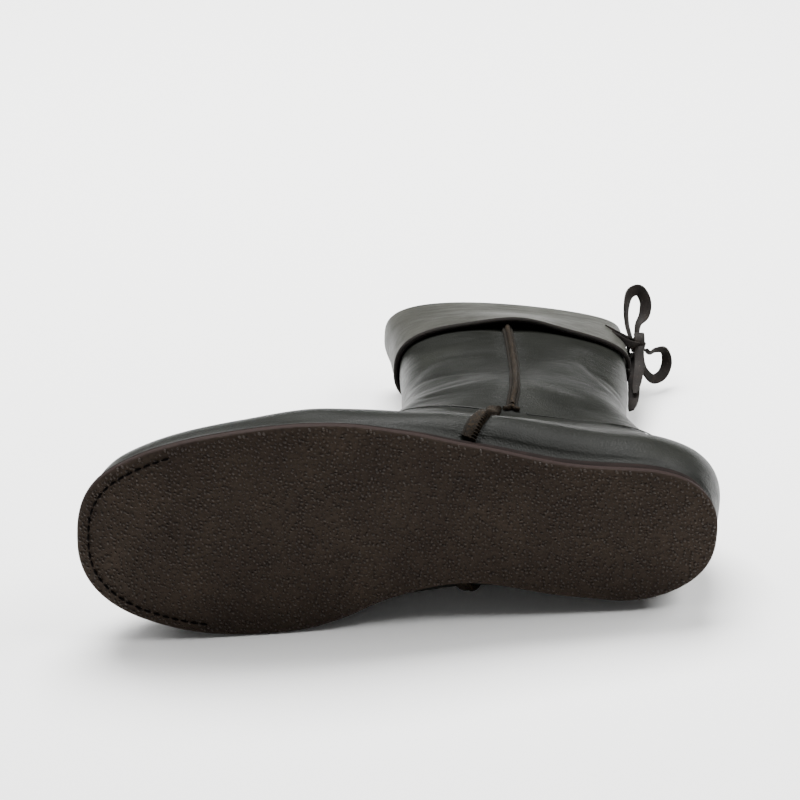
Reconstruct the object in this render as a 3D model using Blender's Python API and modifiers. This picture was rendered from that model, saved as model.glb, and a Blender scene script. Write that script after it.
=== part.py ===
# Soft leather ankle boot, left foot, lying on its medial side
#
# Boot axes while it is modelled: X from the heel back to the toe, Y to the lateral side,
# Z from the tread up the shaft. The last function lays the finished boot on its side.
# Every wall is a loft through sections that run from the back profile to the front profile.

import math

import bmesh
import bpy
import numpy as np
from mathutils import Matrix, Vector

MM = 0.001

# Sole
SOLE_LENGTH = 265 * MM
BALL_WIDTH = 95 * MM
TREAD_THICKNESS = 3.3 * MM
TREAD_EDGE_ROUNDING = 0.7 * MM
WEDGE_AT_HEEL = 4.4 * MM
WEDGE_AT_BALL = 1.1 * MM
WEDGE_INSET = 0.5 * MM
TOE_SPRING = 5.0 * MM
ARCH_LIFT = 1.2 * MM
INSOLE_THICKNESS = 2.6 * MM
INSOLE_TOE_TUCK = 3.0 * MM

# Where the sole's profile changes, as shares of the sole length
TOE_SPRING_START = 0.76
ARCH_RISES = (0.26, 0.40)
ARCH_FALLS = (0.44, 0.60)
WEDGE_TAPERS = (0.22, 0.60)
INSOLE_TUCKS = (0.60, 0.90)

# Upper
LEATHER_WALL = 2.2 * MM
INSTEP_HEIGHT = 74 * MM
COLLAR_HEIGHT = 217 * MM
ANKLE_WIDTH = 62 * MM
COLLAR_WIDTH = 30 * MM
SHAFT_DEPTH = 112 * MM
FORE_LEAN = 0.28
LATERAL_OVERHANG = 8.5 * MM
MEDIAL_OVERHANG = 13 * MM
FEATHER_INSET = 1.0 * MM
FEATHER_STEP = 1.5 * MM

# Cuff
CUFF_DROP = 40 * MM
CUFF_LEATHER = 1.5 * MM
CUFF_LIFT = 0.6 * MM
CUFF_LIFT_AT_SEAM = 4.0 * MM
CUFF_LIFT_SPREAD = 0.34
CUFF_LIFT_TOWARDS_HEEL = 0.10
CUFF_LIFT_ENDS = 0.3
CUFF_SLIT_TOP = 6.0 * MM
CUFF_SLIT_FOOT = 2.0 * MM
BINDING_DIAMETER = 2.0 * MM
BINDING_INSET = 0.2 * MM

# Raised seams
SHAFT_SEAM_WIDTH = 2.6 * MM
SIDE_SEAM_WIDTH = 4.0 * MM
CROSS_SEAM_WIDTH = 2.2 * MM
SEAM_RISE = 1.9 * MM
SIDE_SEAM_RISE = 2.4 * MM
CROSS_SEAM_RISE = 1.1 * MM
CROSS_SEAM_START = 0.075
INSTEP_SEAM_TOP = 1.16
INSTEP_SEAM_BOW = 1.6

# Lace
LACE_WIDTH = 4.6 * MM
LACE_THICKNESS = 1.3 * MM
KNOT_RADIUS = 4.3 * MM
KNOT_DROP = 17 * MM
KNOT_ASIDE = 3.0 * MM
BAND_END_DROP = 20 * MM
BAND_END_ANGLE = 0.36
BAND_BOW = 1.5

CLEARANCE = 0.35 * MM
SEAM_GAP = 0.7 * MM
CUFF_GAP = 0.5 * MM
KNOT_GAP = 0.75 * MM

# Mesh fineness
SIDE_POINTS = 24
RING_COUNT = 25
FOOT_FINENESS = 1.3
SOLE_POINTS = 24
CORD_SIDES = 2
SLIT_MARGIN = 1.15
SURFACE_STEP = 1e-4

# How blunt the round ends of a section are, as powers of the sine of the station angle
END_POWER = 0.8
COLLAR_POWER = 0.62

# Sole outline: station as a share of the sole length, half widths as shares of the ball
# width over the round ends
OUTLINE = [
    # station, lateral, medial
    (0.00, 0.525, 0.520),
    (0.04, 0.510, 0.500),
    (0.09, 0.470, 0.470),
    (0.14, 0.428, 0.428),
    (0.19, 0.398, 0.372),
    (0.25, 0.388, 0.322),
    (0.30, 0.401, 0.280),
    (0.36, 0.424, 0.243),
    (0.42, 0.448, 0.238),
    (0.47, 0.478, 0.264),
    (0.53, 0.510, 0.316),
    (0.58, 0.537, 0.386),
    (0.64, 0.555, 0.452),
    (0.70, 0.564, 0.494),
    (0.76, 0.570, 0.526),
    (0.82, 0.580, 0.553),
    (0.88, 0.592, 0.574),
    (0.94, 0.606, 0.602),
    (1.00, 0.640, 0.625),
]

# How far the upper swells over the sole edge, as shares of the two overhangs
OVERHANG = [
    # station, lateral, medial
    (0.00, 0.30, 0.20),
    (0.15, 0.80, 0.46),
    (0.34, 1.00, 0.90),
    (0.42, 0.80, 1.00),
    (0.50, 0.45, 0.78),
    (0.60, 0.16, 0.32),
    (0.72, 0.00, 0.02),
    (0.85, -0.12, -0.10),
    (1.00, -0.18, -0.16),
]

# Foot sections, feather edge to ankle. Back and front points are shares of the sole length,
# heights are shares of the instep height; follow = how far the section follows the sole
# outline instead of the ankle oval; swell = share of the overhang; heel, waist and ball =
# how far the walls have drawn in there
FOOT_SECTIONS = [
    # back, back_height, front, front_height, follow, swell, heel, waist, ball
    (0.004, 0.00, 0.990, 0.00, 1.00, 0.00, 1.00, 1.00, 1.000),
    (-0.008, 0.09, 0.987, 0.09, 1.00, 0.66, 1.00, 1.00, 0.985),
    (-0.020, 0.20, 0.977, 0.18, 1.00, 0.95, 1.00, 0.97, 0.955),
    (-0.027, 0.32, 0.958, 0.27, 1.00, 1.00, 0.95, 0.89, 0.900),
    (-0.027, 0.44, 0.924, 0.355, 0.96, 0.90, 0.88, 0.84, 0.840),
    (-0.018, 0.57, 0.876, 0.435, 0.87, 0.66, 0.84, 0.81, 0.790),
    (-0.002, 0.70, 0.815, 0.515, 0.73, 0.40, 0.82, 0.80, 0.770),
    (0.018, 0.82, 0.748, 0.60, 0.57, 0.20, 0.83, 0.81, 0.770),
    (0.038, 0.95, 0.682, 0.70, 0.42, 0.08, 0.87, 0.85, 0.800),
    (0.055, 1.09, 0.612, 0.83, 0.28, 0.02, 0.92, 0.90, 0.850),
    (0.067, 1.24, 0.548, 1.00, 0.17, 0.00, 0.97, 0.95, 0.900),
]
DRAW_IN_STATIONS = (0.15, 0.40, 0.70)
# Heights between which the sections stop following the sole's own profile
SOLE_FADES = (0.2, 1.1)

# Shaft sections, ankle to collar. Heights are shares of the way from the instep to the
# collar, back is a share of the sole length, depth a share of the shaft depth,
# slack = how far the width has gone from the ankle's to the flattened collar's
SHAFT_SECTIONS = [
    # back, back_rise, front_rise, depth, follow, slack
    (0.070, 0.205, 0.105, 1.030, 0.08, 0.14),
    (0.067, 0.285, 0.215, 0.955, 0.03, 0.26),
    (0.059, 0.370, 0.335, 0.930, 0.00, 0.36),
    (0.046, 0.475, 0.460, 0.942, 0.00, 0.47),
    (0.034, 0.600, 0.600, 0.955, 0.00, 0.56),
    (0.026, 0.740, 0.740, 0.962, 0.00, 0.68),
    (0.020, 0.870, 0.870, 0.980, 0.00, 0.83),
    (0.015, 1.000, 1.000, 1.000, 0.00, 1.00),
]

# Routes of the raised side seams: station and height above the tread, both as shares of
# the sole length and the instep height; the shaft seam goes on up under the cuff
SIDE_SEAM_ROUTE = [
    # station, height
    (0.400, 0.125),
    (0.390, 0.21),
    (0.379, 0.34),
    (0.364, 0.52),
    (0.344, 0.72),
]
FORK = (0.302, 0.81)
SHAFT_SEAM_ROUTE = [
    # station, share of the way from the fork to the collar
    (0.299, 0.035),
    (0.283, 0.16),
    (0.266, 0.36),
    (0.256, 0.52),
    (0.248, 0.68),
    (0.244, 0.80),
]


def cubic(knots, values, at):
    """Smooth curve through table rows; values may have several columns."""
    knots = np.asarray(knots, float)
    values = np.asarray(values, float)
    at = np.clip(np.asarray(at, float), knots[0], knots[-1])
    slopes = np.gradient(values, knots, axis=0)
    index = np.clip(np.searchsorted(knots, at, side="right") - 1, 0, len(knots) - 2)
    width = knots[index + 1] - knots[index]
    t = (at - knots[index]) / width
    if values.ndim > 1:
        t = t[..., None]
        width = width[..., None]
    start = values[index]
    end = values[index + 1]
    rise = (2 * t**3 - 3 * t**2 + 1) * start + (3 * t**2 - 2 * t**3) * end
    bend = (t**3 - 2 * t**2 + t) * slopes[index] + (t**3 - t**2) * slopes[index + 1]
    return rise + bend * width


def smooth_step(value, low, high):
    t = np.clip((np.asarray(value, float) - low) / (high - low), 0, 1)
    return t * t * (3 - 2 * t)


def station_of(theta):
    """Share of the way from back to front; theta 0 is the back, pi the front."""
    return (1 - np.cos(theta)) / 2


def by_side(theta, lateral, medial):
    """Lateral value for theta 0..pi, medial (negative) for pi..2 pi."""
    return np.where(np.sin(theta) >= 0, lateral, -medial)


# Sole


def outline_half(theta):
    """Signed distance of the sole edge from the foot's axis."""
    rows = np.array(OUTLINE)
    widths = cubic(rows[:, 0], rows[:, 1:], station_of(theta)) * BALL_WIDTH
    round_end = np.abs(np.sin(theta)) ** END_POWER
    return by_side(theta, widths[..., 0], widths[..., 1]) * round_end


def tread_height(x):
    """Underside of the sole: flat heel and forefoot, slight arch, toe spring."""
    share = np.asarray(x, float) / SOLE_LENGTH
    toe = np.maximum(share - TOE_SPRING_START, 0) / (1 - TOE_SPRING_START)
    arch = smooth_step(share, *ARCH_RISES) - smooth_step(share, *ARCH_FALLS)
    return TOE_SPRING * toe**2 + ARCH_LIFT * arch


def wedge_thickness(x):
    share = np.asarray(x, float) / SOLE_LENGTH
    return WEDGE_AT_HEEL + (WEDGE_AT_BALL - WEDGE_AT_HEEL) * smooth_step(share, *WEDGE_TAPERS)


def sole_top(x):
    return tread_height(x) + TREAD_THICKNESS + CLEARANCE + wedge_thickness(x)


def ring_angles(count):
    return np.arange(2 * count) * math.pi / count


def sole_ring(inset, height):
    """Sole outline moved inwards by inset, at the height function's level."""
    theta = ring_angles(SOLE_POINTS)
    x = station_of(theta) * SOLE_LENGTH
    y = outline_half(theta)
    along = np.stack([np.roll(x, -1) - np.roll(x, 1), np.roll(y, -1) - np.roll(y, 1)], axis=1)
    along /= np.linalg.norm(along, axis=1)[:, None]
    x = x + along[:, 1] * inset
    y = y - along[:, 0] * inset
    y[0] = 0
    y[SOLE_POINTS] = 0
    return np.stack([x, y, height(x)], axis=1)


def plate(name, rings, material_name):
    """Closed plate through rings from underneath to the top, capped across the foot."""
    count = len(rings[0])
    half = count // 2
    bm = bmesh.new()
    levels = [[bm.verts.new(point) for point in ring] for ring in rings]
    for low, high in zip(levels, levels[1:]):
        for i in range(count):
            j = (i + 1) % count
            bm.faces.new((low[i], low[j], high[j], high[i]))
    for level in (levels[0], levels[-1]):
        bm.faces.new((level[0], level[1], level[-1]))
        for i in range(1, half - 1):
            bm.faces.new((level[i], level[i + 1], level[-i - 1], level[-i]))
        bm.faces.new((level[half - 1], level[half], level[half + 1]))
    bmesh.ops.recalc_face_normals(bm, faces=bm.faces)
    return add_object(name, bm, material_name)


def make_outsole():
    rings = [
        sole_ring(TREAD_EDGE_ROUNDING, tread_height),
        sole_ring(0, lambda x: tread_height(x) + TREAD_EDGE_ROUNDING),
        sole_ring(0, lambda x: tread_height(x) + TREAD_THICKNESS),
    ]
    return plate("outsole", rings, "crepe_rubber")


def make_midsole():
    def underside(x):
        return tread_height(x) + TREAD_THICKNESS + CLEARANCE

    rings = [
        sole_ring(WEDGE_INSET, underside),
        sole_ring(WEDGE_INSET, sole_top),
    ]
    return plate("midsole", rings, "wedge_rubber")


def make_insole():
    def underside(x):
        return sole_top(x) + CLEARANCE

    share = station_of(ring_angles(SOLE_POINTS))
    inset = FEATHER_INSET + LEATHER_WALL + 2 * CLEARANCE
    inset = inset + INSOLE_TOE_TUCK * smooth_step(share, *INSOLE_TUCKS)
    rings = [
        sole_ring(inset, underside),
        sole_ring(inset, lambda x: underside(x) + INSOLE_THICKNESS),
    ]
    return plate("insole", rings, "insole_leather")


# Upper surface: theta runs round the section, level 0 is the feather edge, 1 the collar


def section_table():
    """Rows of back x, back z, front x, front z, follow, half width, swell, end power,
    draw-in at heel, waist and ball, and lean of the width towards the front."""
    rows = []
    for back, back_height, front, front_height, follow, swell, heel, waist, ball in FOOT_SECTIONS:
        rows.append((
            back * SOLE_LENGTH,
            back_height * INSTEP_HEIGHT,
            front * SOLE_LENGTH,
            front_height * INSTEP_HEIGHT,
            follow,
            ANKLE_WIDTH / 2,
            swell,
            1 - (1 - END_POWER) * follow,
            heel,
            waist,
            ball,
            0.0,
        ))
    rise = COLLAR_HEIGHT - INSTEP_HEIGHT
    for back, back_rise, front_rise, depth, follow, slack in SHAFT_SECTIONS:
        rows.append((
            back * SOLE_LENGTH,
            INSTEP_HEIGHT + back_rise * rise,
            back * SOLE_LENGTH + depth * SHAFT_DEPTH,
            INSTEP_HEIGHT + front_rise * rise,
            follow,
            (ANKLE_WIDTH + (COLLAR_WIDTH - ANKLE_WIDTH) * slack) / 2,
            0.0,
            1 - (1 - COLLAR_POWER) * slack,
            1.0,
            1.0,
            1.0,
            FORE_LEAN * slack,
        ))
    return np.array(rows)


SECTIONS = section_table()
_STEPS = np.linalg.norm(np.diff(SECTIONS[:, :2], axis=0), axis=1)
_STEPS = _STEPS + np.linalg.norm(np.diff(SECTIONS[:, 2:4], axis=0), axis=1)
LEVELS = np.concatenate([[0], np.cumsum(_STEPS)]) / _STEPS.sum()


def surface(theta, level):
    """Outer face of the upper."""
    theta = np.asarray(theta, float)
    level = np.asarray(level, float)
    theta, level = np.broadcast_arrays(theta, level)
    row = cubic(LEVELS, SECTIONS, level)
    share = station_of(theta)
    x = row[..., 0] + (row[..., 2] - row[..., 0]) * share
    z = row[..., 1] + (row[..., 3] - row[..., 1]) * share
    follow = row[..., 4]
    outline = np.array(OUTLINE)
    foot = cubic(outline[:, 0], outline[:, 1:], share) * BALL_WIDTH
    foot = by_side(theta, foot[..., 0], foot[..., 1])
    oval = by_side(theta, row[..., 5], row[..., 5])
    round_end = np.abs(np.sin(theta)) ** row[..., 7]
    table = np.array(OVERHANG)
    swell = cubic(table[:, 0], table[:, 1:], share) * np.array([LATERAL_OVERHANG, MEDIAL_OVERHANG])
    swell = by_side(theta, swell[..., 0], swell[..., 1]) * row[..., 6]
    inset = by_side(theta, FEATHER_INSET, FEATHER_INSET) * follow
    heel_part = 1 - smooth_step(share, DRAW_IN_STATIONS[0], DRAW_IN_STATIONS[1])
    ball_part = smooth_step(share, DRAW_IN_STATIONS[1], DRAW_IN_STATIONS[2])
    draw = row[..., 9] + (row[..., 8] - row[..., 9]) * heel_part
    draw = draw + (row[..., 10] - row[..., 9]) * ball_part
    lean = 1 + row[..., 11] * (2 * share - 1)
    y = (follow * foot + (1 - follow) * oval * lean + swell - inset) * draw * round_end
    fade = 1 - smooth_step(z / INSTEP_HEIGHT, *SOLE_FADES)
    z = z + (sole_top(x) + CLEARANCE) * fade
    return np.stack([x, y, z], axis=-1)


def surface_frame(theta, level):
    """Point, outward normal and the two directions of the upper's face."""
    step = SURFACE_STEP
    point = surface(theta, level)
    around = (surface(theta + step, level) - surface(theta - step, level)) / (2 * step)
    up = (surface(theta, level + step) - surface(theta, level - step)) / (2 * step)
    normal = np.cross(up, around)
    normal /= np.linalg.norm(normal, axis=-1)[..., None]
    return point, normal, around, up


def level_at(theta, height):
    """Level where the surface at theta reaches a height above the tread."""
    low = np.zeros_like(np.asarray(theta, float))
    high = np.ones_like(low)
    for _ in range(26):
        middle = (low + high) / 2
        below = surface(theta, middle)[..., 2] < height
        low = np.where(below, middle, low)
        high = np.where(below, high, middle)
    return (low + high) / 2


def place_on_side(station, height, lateral=True):
    """Theta and level of a point given by its station along the sole and its height."""
    theta = math.pi / 2
    level = 0.5
    x = station * SOLE_LENGTH
    for _ in range(8):
        level = float(level_at(theta, height))
        row = cubic(LEVELS, SECTIONS, level)
        share = min(max((x - row[0]) / (row[2] - row[0]), 0.01), 0.99)
        theta = math.acos(1 - 2 * share)
    return (theta if lateral else 2 * math.pi - theta), level


CUFF_SEAM_ANGLE = place_on_side(SHAFT_SEAM_ROUTE[-1][0], COLLAR_HEIGHT - CUFF_DROP)[0]


# Mesh helpers

PARTS = bpy.data.collections.new("ankle_boot")
ROOT_NAME = "boot_lying_down"


def linear(hex_colour):
    """sRGB hex to linear RGBA."""
    channels = [int(hex_colour[i:i + 2], 16) / 255 for i in (1, 3, 5)]
    return [c / 12.92 if c <= 0.04045 else ((c + 0.055) / 1.055) ** 2.4 for c in channels] + [1]


MATERIALS = {
    "crepe_rubber": ("#372E2A", 0.62),
    "wedge_rubber": ("#5A4440", 0.60),
    "insole_leather": ("#6B5A48", 0.70),
    "upper_leather": ("#3C403E", 0.42),
    "cuff_leather": ("#4A4D4A", 0.42),
    "binding_suede": ("#231C1A", 0.80),
    "seam_suede": ("#5C422E", 0.85),
    "lace_leather": ("#322A24", 0.65),
}


def material(name):
    found = bpy.data.materials.get(name)
    if found:
        return found
    colour, roughness = MATERIALS[name]
    made = bpy.data.materials.new(name)
    made.use_nodes = True
    shader = made.node_tree.nodes["Principled BSDF"]
    shader.inputs["Base Color"].default_value = linear(colour)
    shader.inputs["Roughness"].default_value = roughness
    made.diffuse_color = linear(colour)
    return made


def add_object(name, bm, material_name):
    mesh = bpy.data.meshes.new(name)
    bm.to_mesh(mesh)
    bm.free()
    mesh.materials.append(material(material_name))
    for polygon in mesh.polygons:
        polygon.use_smooth = True
    mesh.set_sharp_from_angle(angle=math.radians(40))
    added = bpy.data.objects.new(name, mesh)
    PARTS.objects.link(added)
    return added


def grid(rows, closed):
    """Open sheet through rows of points whose faces look along up x around."""
    bm = bmesh.new()
    levels = [[bm.verts.new(point) for point in row] for row in rows]
    count = len(rows[0])
    for low, high in zip(levels, levels[1:]):
        for i in range(count if closed else count - 1):
            j = (i + 1) % count
            bm.faces.new((low[i], high[i], high[j], low[j]))
    return bm


def add_wall(target, thickness):
    wall = target.modifiers.new("wall", "SOLIDIFY")
    wall.thickness = thickness
    wall.offset = -1
    wall.use_even_offset = True
    wall.use_quality_normals = True
    return wall


def make_upper():
    theta = ring_angles(SIDE_POINTS)
    levels = np.linspace(0, 1, RING_COUNT) ** FOOT_FINENESS
    rings = [surface(theta, level) for level in levels]
    feather = rings[0].copy()
    rings[0] = feather + np.array([0, 0, FEATHER_STEP])
    upper = add_object("upper", grid([feather] + rings, True), "upper_leather")
    add_wall(upper, LEATHER_WALL)
    return upper


# Cuff: a leaf that turns over the rim, with a slit at the back

# Rows of the cuff between its foot and its rim, as shares of its drop below the collar
CUFF_ROWS = (1.0, 0.82, 0.62, 0.42, 0.22, 0.05)


def seam_lift(theta, height):
    """Extra stand-off of the cuff's foot where it passes over the shaft seams."""
    foot = 1 - smooth_step(height, COLLAR_HEIGHT - CUFF_DROP, COLLAR_HEIGHT - CUFF_LIFT_ENDS * CUFF_DROP)
    middle = CUFF_SEAM_ANGLE - CUFF_LIFT_TOWARDS_HEEL
    near = np.exp(-(((theta - middle) / CUFF_LIFT_SPREAD) ** 2))
    near = near + np.exp(-(((theta - 2 * math.pi + middle) / CUFF_LIFT_SPREAD) ** 2))
    return (CUFF_LIFT + (CUFF_LIFT_AT_SEAM - CUFF_LIFT) * near) * foot


def slit_angle(height):
    """Angle at the back where the cuff starts, beside its slit."""
    share = smooth_step(height, COLLAR_HEIGHT - CUFF_DROP, COLLAR_HEIGHT)
    slit = CUFF_SLIT_FOOT + (CUFF_SLIT_TOP - CUFF_SLIT_FOOT) * share
    row = cubic(LEVELS, SECTIONS, float(level_at(math.pi / 2, height)))
    return math.asin((slit / 2 / row[5]) ** (1 / row[7]))


def cuff_angles(height):
    """The upper's own ring angles, from one side of the slit to the other."""
    start = slit_angle(height)
    beside = SLIT_MARGIN * max(slit_angle(COLLAR_HEIGHT), slit_angle(COLLAR_HEIGHT - CUFF_DROP))
    inner = [angle for angle in ring_angles(SIDE_POINTS) if beside < angle < 2 * math.pi - beside]
    return np.array([start] + inner + [2 * math.pi - start])


def shaft_ring(theta, height, stand_off):
    """Shaft outline at one height, moved outwards level with the tread."""
    held = min(height, COLLAR_HEIGHT)
    level = level_at(theta, held)
    point, normal, _, _ = surface_frame(theta, np.minimum(level, 0.9998))
    flat = normal * np.array([1, 1, 0])
    flat /= np.linalg.norm(flat, axis=1)[:, None]
    ring = point + flat * np.asarray(stand_off)[..., None]
    ring[:, 2] = height
    return ring


def make_cuff():
    outside = CUFF_GAP + CUFF_LEATHER
    rim = COLLAR_HEIGHT + 2 * CLEARANCE + CUFF_LEATHER
    rows = []
    for share in CUFF_ROWS:
        height = COLLAR_HEIGHT - CUFF_DROP * share
        theta = cuff_angles(height)
        rows.append(shaft_ring(theta, height, outside + seam_lift(theta, height)))
    theta = cuff_angles(COLLAR_HEIGHT)
    rolled = [
        (rim - 0.35 * CUFF_LEATHER, outside - 0.2 * CUFF_LEATHER),
        (rim, -0.2 * LEATHER_WALL),
        (rim, -LEATHER_WALL),
    ]
    for height, stand_off in rolled:
        rows.append(shaft_ring(theta, height, np.full(len(theta), stand_off)))
    cuff = add_object("cuff", grid(rows, False), "cuff_leather")
    add_wall(cuff, CUFF_LEATHER)
    return cuff


def curve_object(name, points, thickness, material_name, width=0.0, width_axis=(0, 0, 1)):
    """Tube on a poly spline with filled ends; a ribbon where width is given.

    The ribbon's width turns towards width_axis, which becomes the curve's own Z.
    """
    turn = Vector(width_axis).to_track_quat("Z", "Y").to_matrix().to_4x4()
    curve = bpy.data.curves.new(name, "CURVE")
    curve.dimensions = "3D"
    curve.twist_mode = "Z_UP"
    curve.bevel_depth = thickness / 2
    curve.bevel_resolution = CORD_SIDES
    curve.extrude = max(width - thickness, 0) / 2
    curve.use_fill_caps = True
    spline = curve.splines.new("POLY")
    spline.points.add(len(points) - 1)
    for target, point in zip(spline.points, points):
        target.co = (*(turn.inverted() @ Vector(point)), 1)
    curve.materials.append(material(material_name))
    added = bpy.data.objects.new(name, curve)
    added.matrix_world = turn
    PARTS.objects.link(added)
    return added


def make_binding():
    foot = COLLAR_HEIGHT - CUFF_DROP
    height = foot - CLEARANCE - BINDING_DIAMETER / 2
    theta = cuff_angles(foot)
    stand_off = CUFF_GAP + CUFF_LEATHER - BINDING_INSET - BINDING_DIAMETER / 2 + seam_lift(theta, foot)
    points = shaft_ring(theta, height, stand_off)
    return curve_object("cuff_binding", points, BINDING_DIAMETER, "binding_suede")


# Raised seams

# Cross-section of a seam: across as a share of half its width, height as a share of its rise
SEAM_PROFILE = [(-1, 0), (-1, 0.55), (-0.55, 1), (0.55, 1), (1, 0.55), (1, 0), (0, 0)]


def strip(name, path, width, rise, material_name):
    """Domed strip that lies on the upper's face along a path of theta and level."""
    path = np.asarray(path, float)
    theta, level = path[:, 0], path[:, 1]
    point, normal, around, up = surface_frame(theta, level)
    tangent = np.gradient(point, axis=0)
    tangent /= np.linalg.norm(tangent, axis=1)[:, None]
    side = np.cross(normal, tangent)
    rows = []
    for across, lift in SEAM_PROFILE:
        reach = side * (across * width / 2)
        aa = np.sum(around * around, axis=1)
        au = np.sum(around * up, axis=1)
        uu = np.sum(up * up, axis=1)
        ra = np.sum(reach * around, axis=1)
        ru = np.sum(reach * up, axis=1)
        determinant = aa * uu - au * au
        d_theta = (ra * uu - ru * au) / determinant
        d_level = (ru * aa - ra * au) / determinant
        foot, foot_normal, _, _ = surface_frame(theta + d_theta, level + d_level)
        rows.append(foot + foot_normal * (SEAM_GAP + lift * rise))
    sections = np.stack(rows, axis=1)
    bm = bmesh.new()
    loops = [[bm.verts.new(corner) for corner in section] for section in sections]
    count = len(rows)
    for first, second in zip(loops, loops[1:]):
        for i in range(count):
            j = (i + 1) % count
            bm.faces.new((first[i], first[j], second[j], second[i]))
    bm.faces.new(loops[0])
    bm.faces.new(loops[-1])
    bmesh.ops.recalc_face_normals(bm, faces=bm.faces)
    return add_object(name, bm, material_name)


def mirrored(path):
    return [(2 * math.pi - theta, level) for theta, level in path]


def smooth_path(places, count):
    """Evenly spread places along a smooth curve through a few of them."""
    places = np.asarray(places, float)
    knots = np.linspace(0, 1, len(places))
    return cubic(knots, places, np.linspace(0, 1, count))


def make_seams():
    fork_height = FORK[1] * INSTEP_HEIGHT
    fork = place_on_side(FORK[0], fork_height)
    lower = [place_on_side(station, height * INSTEP_HEIGHT) for station, height in SIDE_SEAM_ROUTE]
    shaft = [
        place_on_side(station, fork_height + share * (COLLAR_HEIGHT - fork_height))
        for station, share in SHAFT_SEAM_ROUTE
    ]
    lower = smooth_path(lower, 15)
    shaft = smooth_path(shaft, 15)
    made = [
        strip("lateral_shaft_seam", shaft, SHAFT_SEAM_WIDTH, SEAM_RISE, "seam_suede"),
        strip("medial_shaft_seam", mirrored(shaft), SHAFT_SEAM_WIDTH, SEAM_RISE, "seam_suede"),
        strip("lateral_side_seam", lower, SIDE_SEAM_WIDTH, SIDE_SEAM_RISE, "seam_suede"),
        strip("medial_side_seam", mirrored(lower), SIDE_SEAM_WIDTH, SIDE_SEAM_RISE, "seam_suede"),
    ]
    ridge = float(level_at(math.pi, INSTEP_SEAM_TOP * INSTEP_HEIGHT))
    t = np.linspace(-1, 1, 29)
    over = math.pi + (math.pi - fork[0] - CROSS_SEAM_START) * t
    level = ridge + (fork[1] - ridge) * np.abs(t) ** INSTEP_SEAM_BOW
    instep = np.stack([over, level], axis=1)
    t = np.linspace(-1, 1, 21)
    behind = (fork[0] - CROSS_SEAM_START) * t
    counter = np.stack([behind, np.full_like(t, fork[1])], axis=1)
    made.append(strip("instep_seam", instep, CROSS_SEAM_WIDTH, CROSS_SEAM_RISE, "seam_suede"))
    made.append(strip("counter_seam", counter, CROSS_SEAM_WIDTH, CROSS_SEAM_RISE, "seam_suede"))
    return made


# Lace: a flat band across the back of the cuff, a knot on it and the bow's loops and ends


def back_of_cuff(theta, height):
    """Centre line of a lace that lies on the cuff."""
    theta = np.asarray(theta, float)
    lift = np.array([seam_lift(t, h) for t, h in zip(theta, height)])
    stand_off = CUFF_GAP + CUFF_LEATHER + lift + CLEARANCE + LACE_THICKNESS / 2
    rings = [shaft_ring(np.array([t]), h, np.array([s]))[0] for t, h, s in zip(theta, height, stand_off)]
    return np.array(rings)


def make_band():
    t = np.linspace(-1, 1, 9)
    height = COLLAR_HEIGHT - KNOT_DROP - (BAND_END_DROP - KNOT_DROP) * np.abs(t) ** BAND_BOW
    points = back_of_cuff(BAND_END_ANGLE * t, height)
    return curve_object("lace_band", points, LACE_THICKNESS, "lace_leather", LACE_WIDTH)


def knot_centre():
    height = COLLAR_HEIGHT - KNOT_DROP
    touch = back_of_cuff([0.0], [height])[0]
    back = touch[0] - LACE_THICKNESS / 2 - CLEARANCE - KNOT_RADIUS
    return np.array([back, KNOT_ASIDE, height])


def make_knot():
    bm = bmesh.new()
    place = Matrix.Translation(knot_centre())
    bmesh.ops.create_uvsphere(bm, u_segments=12, v_segments=8, radius=KNOT_RADIUS, matrix=place)
    return add_object("lace_knot", bm, "lace_leather")


# Each route starts, and a loop also ends, as a direction away from the knot; the points
# between are offsets from its centre in millimetres, chosen by hand
LACE_ROUTES = {
    "lace_loop_upper": {
        "leaves": (0.66, 0.50, 0.56),
        "points": [
            (4.5, 6.7, 8), (4.3, 14, 14), (0.6, 19.4, 19), (-3.5, 20.2, 20), (-7, 15.8, 18),
            (-6.1, 10, 14), (-1.6, 6.4, 9),
        ],
        "returns": (0.02, 0.62, 0.78),
        "width_axis": (-0.10, -0.40, 0.90),
        "count": 20,
    },
    "lace_loop_lower": {
        "leaves": (-0.80, -0.55, 0.10),
        "points": [
            (-6.0, -4.6, 0.6), (-9.6, -4.3, 3), (-14.1, -5.2, 5), (-16.2, -10, 4), (-14, -15.7, 0),
            (-8.6, -17, -3), (-3.6, -12.2, -4),
        ],
        "returns": (-0.30, -0.90, -0.30),
        "width_axis": (-0.30, -0.40, 0.86),
        "count": 20,
    },
    "lace_end_1": {
        "leaves": (0.02, 0.15, -0.98),
        "points": [(1.0, -5.2, -13), (4.1, -7.6, -25), (7.8, -9.2, -38)],
        "returns": None,
        "width_axis": (0.90, -0.42, 0.10),
        "count": 11,
    },
    "lace_end_2": {
        "leaves": (0.30, -0.70, -0.65),
        "points": [(2.6, -8.9, -12), (4.6, -10.8, -25), (7.6, -11.9, -37), (11.4, -12.6, -50)],
        "returns": None,
        "width_axis": (0.90, -0.42, 0.10),
        "count": 12,
    },
}


def lace_route(route):
    """Smooth, evenly spaced points of one loop or end."""
    centre = knot_centre()
    touch = KNOT_RADIUS + KNOT_GAP

    def ray(direction, reach):
        return centre + np.array(direction) / np.linalg.norm(direction) * reach

    places = [ray(route["leaves"], touch)]
    places += [centre + np.array(offset) * MM for offset in route["points"]]
    if route["returns"]:
        places.append(ray(route["returns"], touch))
    places = np.array(places)
    knots = np.concatenate([[0], np.cumsum(np.linalg.norm(np.diff(places, axis=0), axis=1))])
    return cubic(knots, places, np.linspace(0, knots[-1], route["count"]))


def make_lace():
    made = [make_band(), make_knot()]
    for name, route in LACE_ROUTES.items():
        points = lace_route(route)
        made.append(curve_object(
            name, points, LACE_THICKNESS, "lace_leather", LACE_WIDTH, route["width_axis"]))
    return made


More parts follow.
